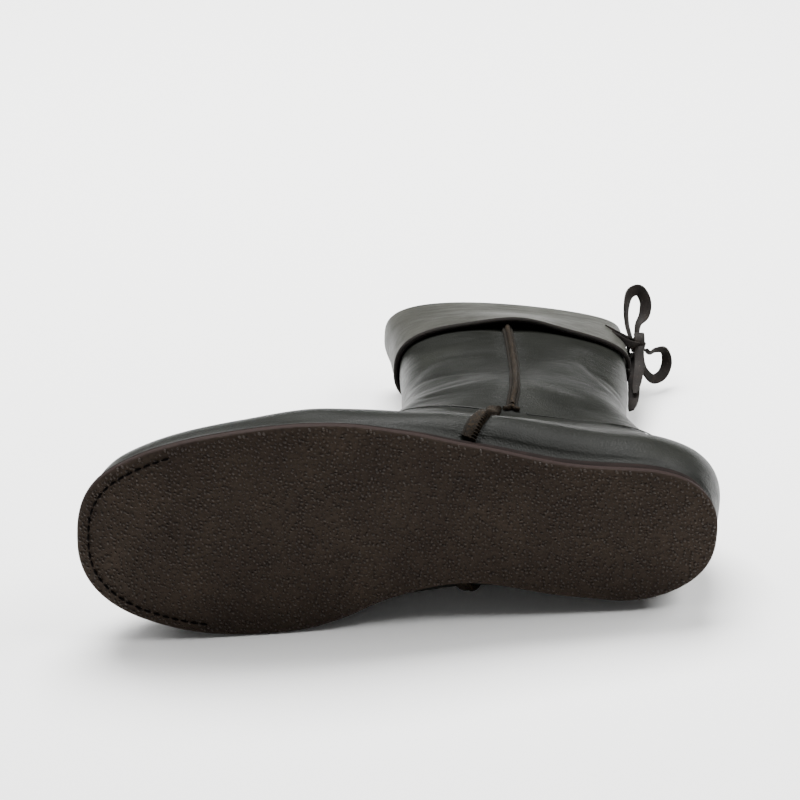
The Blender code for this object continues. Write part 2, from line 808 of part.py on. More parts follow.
# Lying down: the flank of the convex hull nearest the centre of mass goes on the floor

# The knot and the lace that hangs from it don't carry the boot
LOOSE = ("lace_knot", *LACE_ROUTES)


def evaluated(items):
    """Corner and triangle arrays of finished pieces."""
    graph = bpy.context.evaluated_depsgraph_get()
    found = []
    for item in items:
        shape = item.evaluated_get(graph)
        mesh = shape.to_mesh()
        mesh.calc_loop_triangles()
        corners = np.array([item.matrix_world @ v.co for v in mesh.vertices])
        triangles = np.array([t.vertices[:] for t in mesh.loop_triangles])
        shape.to_mesh_clear()
        found.append((corners, triangles))
    return found


def centre_of_mass(shapes):
    total = 0.0
    moment = np.zeros(3)
    for corners, triangles in shapes:
        a, b, c = (corners[triangles[:, k]] for k in range(3))
        volume = np.einsum("ij,ij->i", a, np.cross(b, c)) / 6
        total += volume.sum()
        moment += ((a + b + c) / 4 * volume[:, None]).sum(axis=0)
    return moment / total


def resting_normal(shapes):
    """Outward normal, in boot axes, of the medial hull face that the boot comes to rest on."""
    centre = centre_of_mass(shapes)
    bm = bmesh.new()
    for corners, _ in shapes:
        for corner in corners:
            bm.verts.new(corner)
    bmesh.ops.convex_hull(bm, input=bm.verts)
    best = None
    for face in bm.faces:
        normal = face.normal
        if normal.y > -0.6 or face.calc_area() < MM * MM:
            continue
        reach = normal.dot(face.verts[0].co - Vector(centre))
        if best is None or reach < best[0]:
            best = (reach, np.array(normal))
    bm.free()
    return best[1]


def lay_down(items):
    """Parent everything to an empty that lays the boot on its medial side, toe towards -X."""
    shapes = evaluated([item for item in items if item.name not in LOOSE])
    up = -resting_normal(shapes)
    along = np.array([-1.0, 0, 0]) + up * up[0]
    along /= np.linalg.norm(along)
    turn = np.stack([along, np.cross(up, along), up])
    corners = np.concatenate([corners for corners, _ in shapes]) @ turn.T
    low, high = corners.min(axis=0), corners.max(axis=0)
    rest = bpy.data.objects.new(ROOT_NAME, None)
    matrix = Matrix(turn.tolist()).to_4x4()
    matrix.translation = (-(low[0] + high[0]) / 2, -(low[1] + high[1]) / 2, -low[2])
    rest.matrix_world = matrix
    PARTS.objects.link(rest)
    for item in items:
        item.parent = rest


def clear_scene():
    for old in list(bpy.data.objects):
        bpy.data.objects.remove(old, do_unlink=True)
    bpy.context.scene.collection.children.link(PARTS)


def build():
    clear_scene()
    items = [make_outsole(), make_midsole(), make_insole(), make_upper(), make_cuff(), make_binding()]
    items += make_seams()
    items += make_lace()
    bpy.context.view_layer.update()
    lay_down(items)
    bpy.context.view_layer.update()


build()
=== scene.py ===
"""Looks of a soft leather ankle boot that lies on its side: nappa upper with a turned-down
cuff, suede piping, a crepe rubber sole and a flat leather lace tied in a bow at the back."""
import math

import bmesh
import bpy
import numpy as np
from mathutils import Matrix, Vector


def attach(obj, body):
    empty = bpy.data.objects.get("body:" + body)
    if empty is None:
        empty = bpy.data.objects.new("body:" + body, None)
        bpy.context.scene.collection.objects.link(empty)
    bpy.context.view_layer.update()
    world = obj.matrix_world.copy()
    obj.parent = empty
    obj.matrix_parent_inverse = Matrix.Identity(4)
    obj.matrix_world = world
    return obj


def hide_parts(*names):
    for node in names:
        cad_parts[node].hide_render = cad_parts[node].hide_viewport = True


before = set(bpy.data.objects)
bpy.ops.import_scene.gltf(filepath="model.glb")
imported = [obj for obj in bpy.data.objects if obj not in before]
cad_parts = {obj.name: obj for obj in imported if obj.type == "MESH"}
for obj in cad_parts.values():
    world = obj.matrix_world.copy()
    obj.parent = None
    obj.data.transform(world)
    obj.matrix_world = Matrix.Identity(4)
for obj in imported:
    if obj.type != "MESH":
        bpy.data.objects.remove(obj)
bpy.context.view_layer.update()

MM = 0.001

# Boot axes, in metres: X from the heel back to the toe, Y to the lateral side, Z up the shaft
# The boot lies on its medial side, so the last step of every piece is this turn to the floor
TO_FLOOR = np.array([
    [-0.9983703, 0.0569713, -0.0033333, 0.1287082],
    [0.0000000, 0.0584093, 0.9982927, -0.1085939],
    [0.0570687, 0.9966657, -0.0583141, 0.0331673],
    [0.0, 0.0, 0.0, 1.0],
])

# Camera of the photograph, in boot axes
CAMERA_PLACE = (0.260079, 0.504971, -0.999395)
CAMERA_LOOK = (-0.112923, -0.402246, 0.908541)
CAMERA_UP = (-0.003126, 0.914529, 0.404508)
CAMERA_LENS = 123.26
CAMERA_SENSOR = 36.0

# Sole
SOLE_LENGTH = 265 * MM
BALL_WIDTH = 95 * MM
TREAD_THICKNESS = 3.3 * MM
WEDGE_AT_HEEL = 4.4 * MM
WEDGE_AT_BALL = 1.1 * MM
TOE_SPRING = 5.0 * MM
ARCH_LIFT = 1.2 * MM

# Where the sole's profile changes, as shares of the sole length
TOE_SPRING_START = 0.76
ARCH_RISES = (0.26, 0.40)
ARCH_FALLS = (0.44, 0.60)
WEDGE_TAPERS = (0.22, 0.60)

# Upper
LEATHER_WALL = 2.2 * MM
INSTEP_HEIGHT = 74 * MM
COLLAR_HEIGHT = 217 * MM
ANKLE_WIDTH = 62 * MM
COLLAR_WIDTH = 30 * MM
SHAFT_DEPTH = 112 * MM
FORE_LEAN = 0.28
LATERAL_OVERHANG = 8.5 * MM
MEDIAL_OVERHANG = 13 * MM
FEATHER_INSET = 1.0 * MM
FEATHER_STEP = 1.5 * MM

# Cuff
CUFF_DROP = 40 * MM
CUFF_LEATHER = 1.5 * MM
CUFF_LIFT = 0.6 * MM
CUFF_LIFT_AT_SEAM = 4.0 * MM
CUFF_LIFT_SPREAD = 0.34
CUFF_LIFT_TOWARDS_HEEL = 0.10
CUFF_LIFT_ENDS = 0.3
CUFF_SLIT_TOP = 6.0 * MM
CUFF_SLIT_FOOT = 2.0 * MM

# Raised seams
SHAFT_SEAM_WIDTH = 2.6 * MM
SIDE_SEAM_WIDTH = 4.0 * MM
CROSS_SEAM_WIDTH = 2.2 * MM
SEAM_RISE = 1.9 * MM
SIDE_SEAM_RISE = 2.4 * MM
CROSS_SEAM_RISE = 1.1 * MM
CROSS_SEAM_START = 0.075
INSTEP_SEAM_TOP = 1.16
INSTEP_SEAM_BOW = 1.6

# Lace
LACE_WIDTH = 4.6 * MM
LACE_THICKNESS = 1.3 * MM
KNOT_RADIUS = 4.3 * MM
KNOT_DROP = 17 * MM
KNOT_ASIDE = 3.0 * MM
BAND_END_DROP = 20 * MM
BAND_END_ANGLE = 0.36
BAND_BOW = 1.5

CLEARANCE = 0.35 * MM
SEAM_GAP = 0.7 * MM
CUFF_GAP = 0.5 * MM
KNOT_GAP = 0.75 * MM

# Step of the slopes of the upper's face, and the highest level at which they are taken
SURFACE_STEP = 1e-4
TOP_LEVEL = 0.9998

# How blunt the round ends of a section are, as powers of the sine of the station angle
END_POWER = 0.8
COLLAR_POWER = 0.62

# Sole outline: station as a share of the sole length, half widths as shares of the ball
# width over the round ends
OUTLINE = [
    # station, lateral, medial
    (0.00, 0.525, 0.520),
    (0.04, 0.510, 0.500),
    (0.09, 0.470, 0.470),
    (0.14, 0.428, 0.428),
    (0.19, 0.398, 0.372),
    (0.25, 0.388, 0.322),
    (0.30, 0.401, 0.280),
    (0.36, 0.424, 0.243),
    (0.42, 0.448, 0.238),
    (0.47, 0.478, 0.264),
    (0.53, 0.510, 0.316),
    (0.58, 0.537, 0.386),
    (0.64, 0.555, 0.452),
    (0.70, 0.564, 0.494),
    (0.76, 0.570, 0.526),
    (0.82, 0.580, 0.553),
    (0.88, 0.592, 0.574),
    (0.94, 0.606, 0.602),
    (1.00, 0.640, 0.625),
]

# How far the upper swells over the sole edge, as shares of the two overhangs
OVERHANG = [
    # station, lateral, medial
    (0.00, 0.30, 0.20),
    (0.15, 0.80, 0.46),
    (0.34, 1.00, 0.90),
    (0.42, 0.80, 1.00),
    (0.50, 0.45, 0.78),
    (0.60, 0.16, 0.32),
    (0.72, 0.00, 0.02),
    (0.85, -0.12, -0.10),
    (1.00, -0.18, -0.16),
]

# Foot sections, feather edge to ankle. Back and front points are shares of the sole length,
# heights are shares of the instep height; follow = how far the section follows the sole
# outline instead of the ankle oval; swell = share of the overhang; heel, waist and ball =
# how far the walls have drawn in there
FOOT_SECTIONS = [
    # back, back_height, front, front_height, follow, swell, heel, waist, ball
    (0.004, 0.00, 0.990, 0.00, 1.00, 0.00, 1.00, 1.00, 1.000),
    (-0.008, 0.09, 0.987, 0.09, 1.00, 0.66, 1.00, 1.00, 0.985),
    (-0.020, 0.20, 0.977, 0.18, 1.00, 0.95, 1.00, 0.97, 0.955),
    (-0.027, 0.32, 0.958, 0.27, 1.00, 1.00, 0.95, 0.89, 0.900),
    (-0.027, 0.44, 0.924, 0.355, 0.96, 0.90, 0.88, 0.84, 0.840),
    (-0.018, 0.57, 0.876, 0.435, 0.87, 0.66, 0.84, 0.81, 0.790),
    (-0.002, 0.70, 0.815, 0.515, 0.73, 0.40, 0.82, 0.80, 0.770),
    (0.018, 0.82, 0.748, 0.60, 0.57, 0.20, 0.83, 0.81, 0.770),
    (0.038, 0.95, 0.682, 0.70, 0.42, 0.08, 0.87, 0.85, 0.800),
    (0.055, 1.09, 0.612, 0.83, 0.28, 0.02, 0.92, 0.90, 0.850),
    (0.067, 1.24, 0.548, 1.00, 0.17, 0.00, 0.97, 0.95, 0.900),
]
DRAW_IN_STATIONS = (0.15, 0.40, 0.70)
# Heights between which the sections stop following the sole's own profile
SOLE_FADES = (0.2, 1.1)

# Shaft sections, ankle to collar. Heights are shares of the way from the instep to the
# collar, back is a share of the sole length, depth a share of the shaft depth,
# slack = how far the width has gone from the ankle's to the flattened collar's
SHAFT_SECTIONS = [
    # back, back_rise, front_rise, depth, follow, slack
    (0.070, 0.205, 0.105, 1.030, 0.08, 0.14),
    (0.067, 0.285, 0.215, 0.955, 0.03, 0.26),
    (0.059, 0.370, 0.335, 0.930, 0.00, 0.36),
    (0.046, 0.475, 0.460, 0.942, 0.00, 0.47),
    (0.034, 0.600, 0.600, 0.955, 0.00, 0.56),
    (0.026, 0.740, 0.740, 0.962, 0.00, 0.68),
    (0.020, 0.870, 0.870, 0.980, 0.00, 0.83),
    (0.015, 1.000, 1.000, 1.000, 0.00, 1.00),
]

# Routes of the raised side seams: station and height above the tread, both as shares of
# the sole length and the instep height; the shaft seam goes on up under the cuff
SIDE_SEAM_ROUTE = [
    # station, height
    (0.400, 0.125),
    (0.390, 0.21),
    (0.379, 0.34),
    (0.364, 0.52),
    (0.344, 0.72),
]
FORK = (0.302, 0.81)
SHAFT_SEAM_ROUTE = [
    # station, share of the way from the fork to the collar
    (0.299, 0.035),
    (0.283, 0.16),
    (0.266, 0.36),
    (0.256, 0.52),
    (0.248, 0.68),
    (0.244, 0.80),
]


def cubic(knots, values, at):
    """Smooth curve through table rows; values may have several columns."""
    knots = np.asarray(knots, float)
    values = np.asarray(values, float)
    at = np.clip(np.asarray(at, float), knots[0], knots[-1])
    slopes = np.gradient(values, knots, axis=0)
    index = np.clip(np.searchsorted(knots, at, side="right") - 1, 0, len(knots) - 2)
    width = knots[index + 1] - knots[index]
    t = (at - knots[index]) / width
    if values.ndim > 1:
        t = t[..., None]
        width = width[..., None]
    start = values[index]
    end = values[index + 1]
    rise = (2 * t**3 - 3 * t**2 + 1) * start + (3 * t**2 - 2 * t**3) * end
    bend = (t**3 - 2 * t**2 + t) * slopes[index] + (t**3 - t**2) * slopes[index + 1]
    return rise + bend * width


def smooth_route(points, count):
    """Evenly spaced points of a smooth curve through a few."""
    points = np.asarray(points, float)
    steps = np.linalg.norm(np.diff(points, axis=0), axis=1)
    knots = np.concatenate([[0], np.cumsum(steps)])
    return cubic(knots, points, np.linspace(0, knots[-1], count))


def smooth_path(places, count):
    """A few values or places, spread smoothly over more, with equal shares between them."""
    places = np.asarray(places, float)
    return cubic(np.linspace(0, 1, len(places)), places, np.linspace(0, 1, count))


def unit(vectors):
    """The same directions at a length of one."""
    return vectors / np.linalg.norm(vectors, axis=-1)[..., None]


def smooth_step(value, low, high):
    t = np.clip((np.asarray(value, float) - low) / (high - low), 0, 1)
    return t * t * (3 - 2 * t)


def station_of(theta):
    """Share of the way from back to front; theta 0 is the back, pi the front."""
    return (1 - np.cos(theta)) / 2


def by_side(theta, lateral, medial):
    """Lateral value for theta 0..pi, medial (negative) for pi..2 pi."""
    return np.where(np.sin(theta) >= 0, lateral, -medial)


def outline_half(theta):
    """Signed distance of the sole edge from the foot's axis."""
    rows = np.array(OUTLINE)
    widths = cubic(rows[:, 0], rows[:, 1:], station_of(theta)) * BALL_WIDTH
    round_end = np.abs(np.sin(theta)) ** END_POWER
    return by_side(theta, widths[..., 0], widths[..., 1]) * round_end


def tread_height(x):
    """Underside of the sole: flat heel and forefoot, slight arch, toe spring."""
    share = np.asarray(x, float) / SOLE_LENGTH
    toe = np.maximum(share - TOE_SPRING_START, 0) / (1 - TOE_SPRING_START)
    arch = smooth_step(share, *ARCH_RISES) - smooth_step(share, *ARCH_FALLS)
    return TOE_SPRING * toe**2 + ARCH_LIFT * arch


def wedge_thickness(x):
    share = np.asarray(x, float) / SOLE_LENGTH
    return WEDGE_AT_HEEL + (WEDGE_AT_BALL - WEDGE_AT_HEEL) * smooth_step(share, *WEDGE_TAPERS)


def sole_top(x):
    return tread_height(x) + TREAD_THICKNESS + CLEARANCE + wedge_thickness(x)


def section_table():
    """Rows of back x, back z, front x, front z, follow, half width, swell, end power,
    draw-in at heel, waist and ball, and lean of the width towards the front."""
    rows = []
    for back, back_height, front, front_height, follow, swell, heel, waist, ball in FOOT_SECTIONS:
        rows.append((
            back * SOLE_LENGTH,
            back_height * INSTEP_HEIGHT,
            front * SOLE_LENGTH,
            front_height * INSTEP_HEIGHT,
            follow,
            ANKLE_WIDTH / 2,
            swell,
            1 - (1 - END_POWER) * follow,
            heel,
            waist,
            ball,
            0.0,
        ))
    rise = COLLAR_HEIGHT - INSTEP_HEIGHT
    for back, back_rise, front_rise, depth, follow, slack in SHAFT_SECTIONS:
        rows.append((
            back * SOLE_LENGTH,
            INSTEP_HEIGHT + back_rise * rise,
            back * SOLE_LENGTH + depth * SHAFT_DEPTH,
            INSTEP_HEIGHT + front_rise * rise,
            follow,
            (ANKLE_WIDTH + (COLLAR_WIDTH - ANKLE_WIDTH) * slack) / 2,
            0.0,
            1 - (1 - COLLAR_POWER) * slack,
            1.0,
            1.0,
            1.0,
            FORE_LEAN * slack,
        ))
    return np.array(rows)


SECTIONS = section_table()
_STEPS = np.linalg.norm(np.diff(SECTIONS[:, :2], axis=0), axis=1)
_STEPS = _STEPS + np.linalg.norm(np.diff(SECTIONS[:, 2:4], axis=0), axis=1)
LEVELS = np.concatenate([[0], np.cumsum(_STEPS)]) / _STEPS.sum()

# Columns of the section table that are read one by one
BACK_X = 0
FRONT_X = 2
HALF_WIDTH = 5
ROUND_END = 7


def surface(theta, level):
    """Outer face of the upper."""
    theta, level = np.broadcast_arrays(np.asarray(theta, float), np.asarray(level, float))
    columns = np.moveaxis(cubic(LEVELS, SECTIONS, level), -1, 0)
    back_x, back_z, front_x, front_z, follow, half_width = columns[:6]
    swell_share, end_power, heel, waist, ball, front_lean = columns[6:]
    share = station_of(theta)
    x = back_x + (front_x - back_x) * share
    z = back_z + (front_z - back_z) * share
    outline = np.array(OUTLINE)
    foot = cubic(outline[:, 0], outline[:, 1:], share) * BALL_WIDTH
    foot = by_side(theta, foot[..., 0], foot[..., 1])
    ankle = by_side(theta, half_width, half_width)
    round_end = np.abs(np.sin(theta)) ** end_power
    table = np.array(OVERHANG)
    swell = cubic(table[:, 0], table[:, 1:], share) * np.array([LATERAL_OVERHANG, MEDIAL_OVERHANG])
    swell = by_side(theta, swell[..., 0], swell[..., 1]) * swell_share
    inset = by_side(theta, FEATHER_INSET, FEATHER_INSET) * follow
    heel_part = 1 - smooth_step(share, DRAW_IN_STATIONS[0], DRAW_IN_STATIONS[1])
    ball_part = smooth_step(share, DRAW_IN_STATIONS[1], DRAW_IN_STATIONS[2])
    draw = waist + (heel - waist) * heel_part
    draw = draw + (ball - waist) * ball_part
    lean = 1 + front_lean * (2 * share - 1)
    y = (follow * foot + (1 - follow) * ankle * lean + swell - inset) * draw * round_end
    fade = 1 - smooth_step(z / INSTEP_HEIGHT, *SOLE_FADES)
    z = z + (sole_top(x) + CLEARANCE) * fade
    return np.stack([x, y, z], axis=-1)


def surface_frame(theta, level):
    """Point and outward normal of the upper's face."""
    step = SURFACE_STEP
    point = surface(theta, level)
    around = (surface(theta + step, level) - surface(theta - step, level)) / (2 * step)
    up = (surface(theta, level + step) - surface(theta, level - step)) / (2 * step)
    return point, unit(np.cross(up, around))


def level_at(theta, height):
    """Level where the surface at theta reaches a height above the tread."""
    low = np.zeros_like(np.asarray(theta, float))
    high = np.ones_like(low)
    for _ in range(26):
        middle = (low + high) / 2
        below = surface(theta, middle)[..., 2] < height
        low = np.where(below, middle, low)
        high = np.where(below, high, middle)
    return (low + high) / 2


def place_on_side(station, height):
    """Theta and level of a point of the lateral side given by its station and its height."""
    theta = math.pi / 2
    level = 0.5
    x = station * SOLE_LENGTH
    for _ in range(8):
        level = float(level_at(theta, height))
        row = cubic(LEVELS, SECTIONS, level)
        share = min(max((x - row[BACK_X]) / (row[FRONT_X] - row[BACK_X]), 0.01), 0.99)
        theta = math.acos(1 - 2 * share)
    return theta, level


CUFF_SEAM_ANGLE = place_on_side(SHAFT_SEAM_ROUTE[-1][0], COLLAR_HEIGHT - CUFF_DROP)[0]


def seam_lift(theta, height):
    """Extra stand-off of the cuff's foot where it passes over the shaft seams."""
    foot = 1 - smooth_step(height, COLLAR_HEIGHT - CUFF_DROP, COLLAR_HEIGHT - CUFF_LIFT_ENDS * CUFF_DROP)
    middle = CUFF_SEAM_ANGLE - CUFF_LIFT_TOWARDS_HEEL
    near = np.exp(-(((theta - middle) / CUFF_LIFT_SPREAD) ** 2))
    near = near + np.exp(-(((theta - 2 * math.pi + middle) / CUFF_LIFT_SPREAD) ** 2))
    return (CUFF_LIFT + (CUFF_LIFT_AT_SEAM - CUFF_LIFT) * near) * foot


def slit_angle(height):
    """Angle at the back where the cuff starts, beside its slit."""
    share = smooth_step(height, COLLAR_HEIGHT - CUFF_DROP, COLLAR_HEIGHT)
    slit = CUFF_SLIT_FOOT + (CUFF_SLIT_TOP - CUFF_SLIT_FOOT) * share
    row = cubic(LEVELS, SECTIONS, float(level_at(math.pi / 2, height)))
    return math.asin((slit / 2 / row[HALF_WIDTH]) ** (1 / row[ROUND_END]))


def shaft_ring(theta, height, stand_off):
    """Shaft outline at one height, moved outwards level with the tread."""
    level = level_at(theta, min(height, COLLAR_HEIGHT))
    point, normal = surface_frame(theta, np.minimum(level, TOP_LEVEL))
    flat = unit(normal * np.array([1, 1, 0]))
    ring = point + flat * np.asarray(stand_off)[..., None]
    ring[:, 2] = height
    return ring


def back_of_cuff(theta, height):
    """Centre line of a lace that lies on the cuff."""
    theta = np.asarray(theta, float)
    lift = np.array([seam_lift(t, h) for t, h in zip(theta, height)])
    stand_off = CUFF_GAP + CUFF_LEATHER + lift + CLEARANCE + LACE_THICKNESS / 2
    rings = [shaft_ring(np.array([t]), h, np.array([s]))[0] for t, h, s in zip(theta, height, stand_off)]
    return np.array(rings)


def knot_centre():
    """Middle of the knot, which touches the band on the back of the cuff."""
    height = COLLAR_HEIGHT - KNOT_DROP
    touch = back_of_cuff([0.0], [height])[0]
    back = touch[0] - LACE_THICKNESS / 2 - CLEARANCE - KNOT_RADIUS
    return np.array([back, KNOT_ASIDE, height])


LACE_ROUTES = {
    "lace_loop_upper": {
        "leaves": (0.66, 0.50, 0.56),
        "points": [
            (4.5, 6.7, 8), (4.3, 14, 14), (0.6, 19.4, 19), (-3.5, 20.2, 20), (-7, 15.8, 18),
            (-6.1, 10, 14), (-1.6, 6.4, 9),
        ],
        "returns": (0.02, 0.62, 0.78),
        "width_axis": (-0.10, -0.40, 0.90),
        "count": 20,
    },
    "lace_loop_lower": {
        "leaves": (-0.80, -0.55, 0.10),
        "points": [
            (-6.0, -4.6, 0.6), (-9.6, -4.3, 3), (-14.1, -5.2, 5), (-16.2, -10, 4), (-14, -15.7, 0),
            (-8.6, -17, -3), (-3.6, -12.2, -4),
        ],
        "returns": (-0.30, -0.90, -0.30),
        "width_axis": (-0.30, -0.40, 0.86),
        "count": 20,
    },
    "lace_end_1": {
        "leaves": (0.02, 0.15, -0.98),
        "points": [(1.0, -5.2, -13), (4.1, -7.6, -25), (7.8, -9.2, -38)],
        "returns": None,
        "width_axis": (0.90, -0.42, 0.10),
        "count": 11,
    },
    "lace_end_2": {
        "leaves": (0.30, -0.70, -0.65),
        "points": [(2.6, -8.9, -12), (4.6, -10.8, -25), (7.6, -11.9, -37), (11.4, -12.6, -50)],
        "returns": None,
        "width_axis": (0.90, -0.42, 0.10),
        "count": 12,
    },
}


def lace_route(route, count):
    """Smooth, evenly spaced points of one loop or end."""
    centre = knot_centre()
    touch = KNOT_RADIUS + KNOT_GAP

    def ray(direction, reach):
        return centre + unit(np.array(direction)) * reach

    places = [ray(route["leaves"], touch)]
    places += [centre + np.array(offset) * MM for offset in route["points"]]
    if route["returns"]:
        places.append(ray(route["returns"], touch))
    return smooth_route(places, count)


# Fineness of the visual meshes
AROUND = 300
UP = 170
CUFF_ACROSS = 260
SOLE_STATIONS = 140

# Share of the full depth that the folds of the table below are drawn at
FOLD_DEPTH = 0.9

# Folds of the leather. Each route runs through x and z points in millimetres, in boot axes;
# depth and width are in millimetres, side is 1 for lateral and -1 for medial
FOLDS = [
    # side, depth, width, route
    (1, 0.90, 5.0, [(116, 128), (110, 137), (101, 142), (89, 141), (74, 142)]),
    (1, 0.70, 2.4, [(117, 124), (109, 122), (97, 117), (85, 111)]),
    (1, 0.60, 2.6, [(118, 104), (111, 95), (101, 94), (90, 96)]),
    (1, 0.45, 5.0, [(110, 170), (98, 163), (82, 158), (72, 156)]),
    (1, 0.50, 2.0, [(119, 116), (114, 109), (106, 105), (96, 104)]),
    (1, 0.45, 2.0, [(120, 92), (115, 86), (108, 84), (100, 84)]),
    (1, 0.75, 3.0, [(36, 141), (31, 130), (24, 118), (16, 112)]),
    (1, 0.60, 2.4, [(30, 136), (24, 127), (18, 120)]),
    (1, 0.80, 6.0, [(15, 168), (24, 150), (31, 132), (36, 112)]),
    (1, 0.50, 7.0, [(63, 133), (50, 137), (37, 141)]),
    (1, 0.45, 6.0, [(68, 92), (54, 92), (42, 88), (32, 84)]),
    (1, 0.35, 4.0, [(60, 78), (48, 77), (36, 76)]),
    (-1, 0.80, 5.0, [(114, 150), (98, 148), (78, 150)]),
    (-1, 0.70, 4.0, [(117, 120), (104, 112), (88, 108)]),
    (-1, 0.60, 3.5, [(116, 98), (104, 92), (90, 92)]),
    (-1, 0.70, 5.0, [(20, 160), (30, 140), (40, 122)]),
    (-1, 0.50, 4.0, [(18, 118), (32, 106), (48, 102)]),
    (1, 0.35, 1.6, [(160, 46), (150, 50), (140, 52)]),
    (1, 0.30, 1.4, [(154, 40), (144, 46), (134, 49)]),
    (-1, 0.60, 3.0, [(150, 52), (132, 58), (114, 60)]),
]


def to_floor(points):
    """Boot axes to the row frame."""
    return np.asarray(points, float) @ TO_FLOOR[:3, :3].T + TO_FLOOR[:3, 3]


def distance_to_route(places, route):
    """Signed distance in a plane from places to a route, and the share along it."""
    best = np.full(places.shape[:-1], np.inf)
    signed = np.zeros_like(best)
    share = np.zeros_like(best)
    count = len(route) - 1
    for i in range(count):
        start = route[i]
        run = route[i + 1] - start
        reach = places - start
        t = np.clip(reach @ run / (run @ run), 0, 1)
        off = reach - t[..., None] * run
        away = np.linalg.norm(off, axis=-1)
        turn = np.sign(run[0] * reach[..., 1] - run[1] * reach[..., 0])
        closer = away < best
        best = np.where(closer, away, best)
        signed = np.where(closer, turn * away, signed)
        share = np.where(closer, (i + t) / count, share)
    return signed, share


def fold_relief(point):
    """Height of the listed folds: a soft trough with a lip above it."""
    relief = np.zeros(point.shape[:-1])
    places = point[..., [0, 2]] / MM
    for side, depth, width, route in FOLDS:
        signed, share = distance_to_route(places, smooth_route(route, 18))
        taper = np.sin(np.pi * np.clip(share, 0.02, 0.98)) ** 0.8
        trough = np.exp(-((signed / width) ** 2))
        lip = 0.6 * np.exp(-(((signed - 1.8 * width) / (1.4 * width)) ** 2))
        there = smooth_step(side * point[..., 1], -2 * MM, 5 * MM)
        relief += FOLD_DEPTH * depth * MM * taper * there * (lip - trough)
    return relief


def soft_waves(point, amplitude):
    """Slack unevenness of unpadded leather."""
    x, y, z = (point[..., k] / MM for k in range(3))
    wave = np.sin(x / 13.0 + 1.3 * np.sin(z / 21.0)) * np.sin(z / 15.0 + 0.9 * np.sin(x / 27.0 + y / 19.0))
    ripple = np.sin(x / 6.1 - z / 9.7 + 1.1 * np.sin(z / 11.0 + y / 9.0))
    return amplitude * (0.75 * wave + 0.25 * ripple)


# Meshes


def mesh_from_rows(name, rows, closed):
    """Sheet of quads through rows of points in boot axes, faces looking along up x around."""
    rows = np.asarray(rows, float)
    count_rows, count, _ = rows.shape
    number = np.arange(count_rows * count).reshape(count_rows, count)
    following = np.roll(number, -1, axis=1)
    if not closed:
        number, following = number[:, :-1], following[:, :-1]
    faces = np.stack([number[:-1], number[1:], following[1:], following[:-1]], axis=-1)
    mesh = bpy.data.meshes.new(name)
    mesh.from_pydata(to_floor(rows.reshape(-1, 3)).tolist(), [], faces.reshape(-1, 4).tolist())
    return finish_mesh(name, mesh)


def link_object(name, data):
    """Object of its own for some data, in the scene."""
    made = bpy.data.objects.new(name, data)
    bpy.context.scene.collection.objects.link(made)
    return made


def finish_mesh(name, mesh):
    """Smoothly shaded object of a mesh."""
    mesh.update()
    for polygon in mesh.polygons:
        polygon.use_smooth = True
    return link_object(name, mesh)


def ring_walls(bm, loops):
    """Rings of corners through closed loops of points, with walls between neighbours."""
    rings = [[bm.verts.new(corner) for corner in loop] for loop in loops]
    count = len(rings[0])
    for first, second in zip(rings, rings[1:]):
        for i in range(count):
            j = (i + 1) % count
            bm.faces.new((first[i], first[j], second[j], second[i]))
    return rings


def finish_solid(name, bm, sharp_from):
    """Closed object, smooth but for the edges sharper than an angle in degrees."""
    bmesh.ops.recalc_face_normals(bm, faces=bm.faces)
    mesh = bpy.data.meshes.new(name)
    bm.to_mesh(mesh)
    bm.free()
    made = finish_mesh(name, mesh)
    made.data.set_sharp_from_angle(angle=math.radians(sharp_from))
    return made


def apply_modifiers(thing):
    """Turns the evaluated object into its plain mesh."""
    graph = bpy.context.evaluated_depsgraph_get()
    shaped = bpy.data.meshes.new_from_object(thing.evaluated_get(graph), depsgraph=graph)
    thing.modifiers.clear()
    thing.data = shaped
    return thing


def give_wall(thing, thickness):
    wall = thing.modifiers.new("wall", "SOLIDIFY")
    wall.thickness = thickness
    wall.offset = -1
    return apply_modifiers(thing)


def dress(thing, finish, slot, *nodes):
    """Material, ride and the CAD nodes that the piece stands for; the slot is not used."""
    thing.data.materials.clear()
    thing.data.materials.append(finish)
    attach(thing, "root")
    if nodes:
        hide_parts(*nodes)
    return thing


# Angles in degrees from which edges are drawn sharp
ROD_SHARP_FROM = 60
SOLE_SHARP_FROM = 50


def swept(name, centre, side, out, profile, scale=None):
    """Closed rod: a profile of across and out values swept along a route of frames."""
    centre, side, out = (np.asarray(part, float) for part in (centre, side, out))
    size = np.ones(len(centre)) if scale is None else np.asarray(scale, float)
    profile = np.asarray(profile, float)
    reach = side[:, None] * profile[None, :, :1] + out[:, None] * profile[None, :, 1:]
    loops = to_floor(centre[:, None] + reach * size[:, None, None])
    bm = bmesh.new()
    rings = ring_walls(bm, loops)
    bm.faces.new(rings[0])
    bm.faces.new(rings[-1])
    return finish_solid(name, bm, ROD_SHARP_FROM)


def oval(half_width, half_height, count, squareness=1.0):
    """Profile of a soft oval; below 1, squareness makes it boxier."""
    turn = np.arange(count) * 2 * math.pi / count
    c, s = np.cos(turn), np.sin(turn)
    return np.stack([
        half_width * np.sign(c) * np.abs(c) ** squareness,
        half_height * np.sign(s) * np.abs(s) ** squareness,
    ], axis=1)


def dome(width, rise, count=9):
    """Profile of a raised strip with a flat foot."""
    turn = np.linspace(math.pi, 0, count)
    top = np.stack([width / 2 * np.cos(turn), rise * np.abs(np.sin(turn)) ** 0.8], axis=1)
    return np.concatenate([top, [[0, -0.2 * rise]]])


# Materials


def colour(hex_value):
    """sRGB hex to linear RGBA."""
    channels = [int(hex_value[i:i + 2], 16) / 255 for i in (1, 3, 5)]
    return [c / 12.92 if c <= 0.04045 else ((c + 0.055) / 1.055) ** 2.4 for c in channels] + [1]


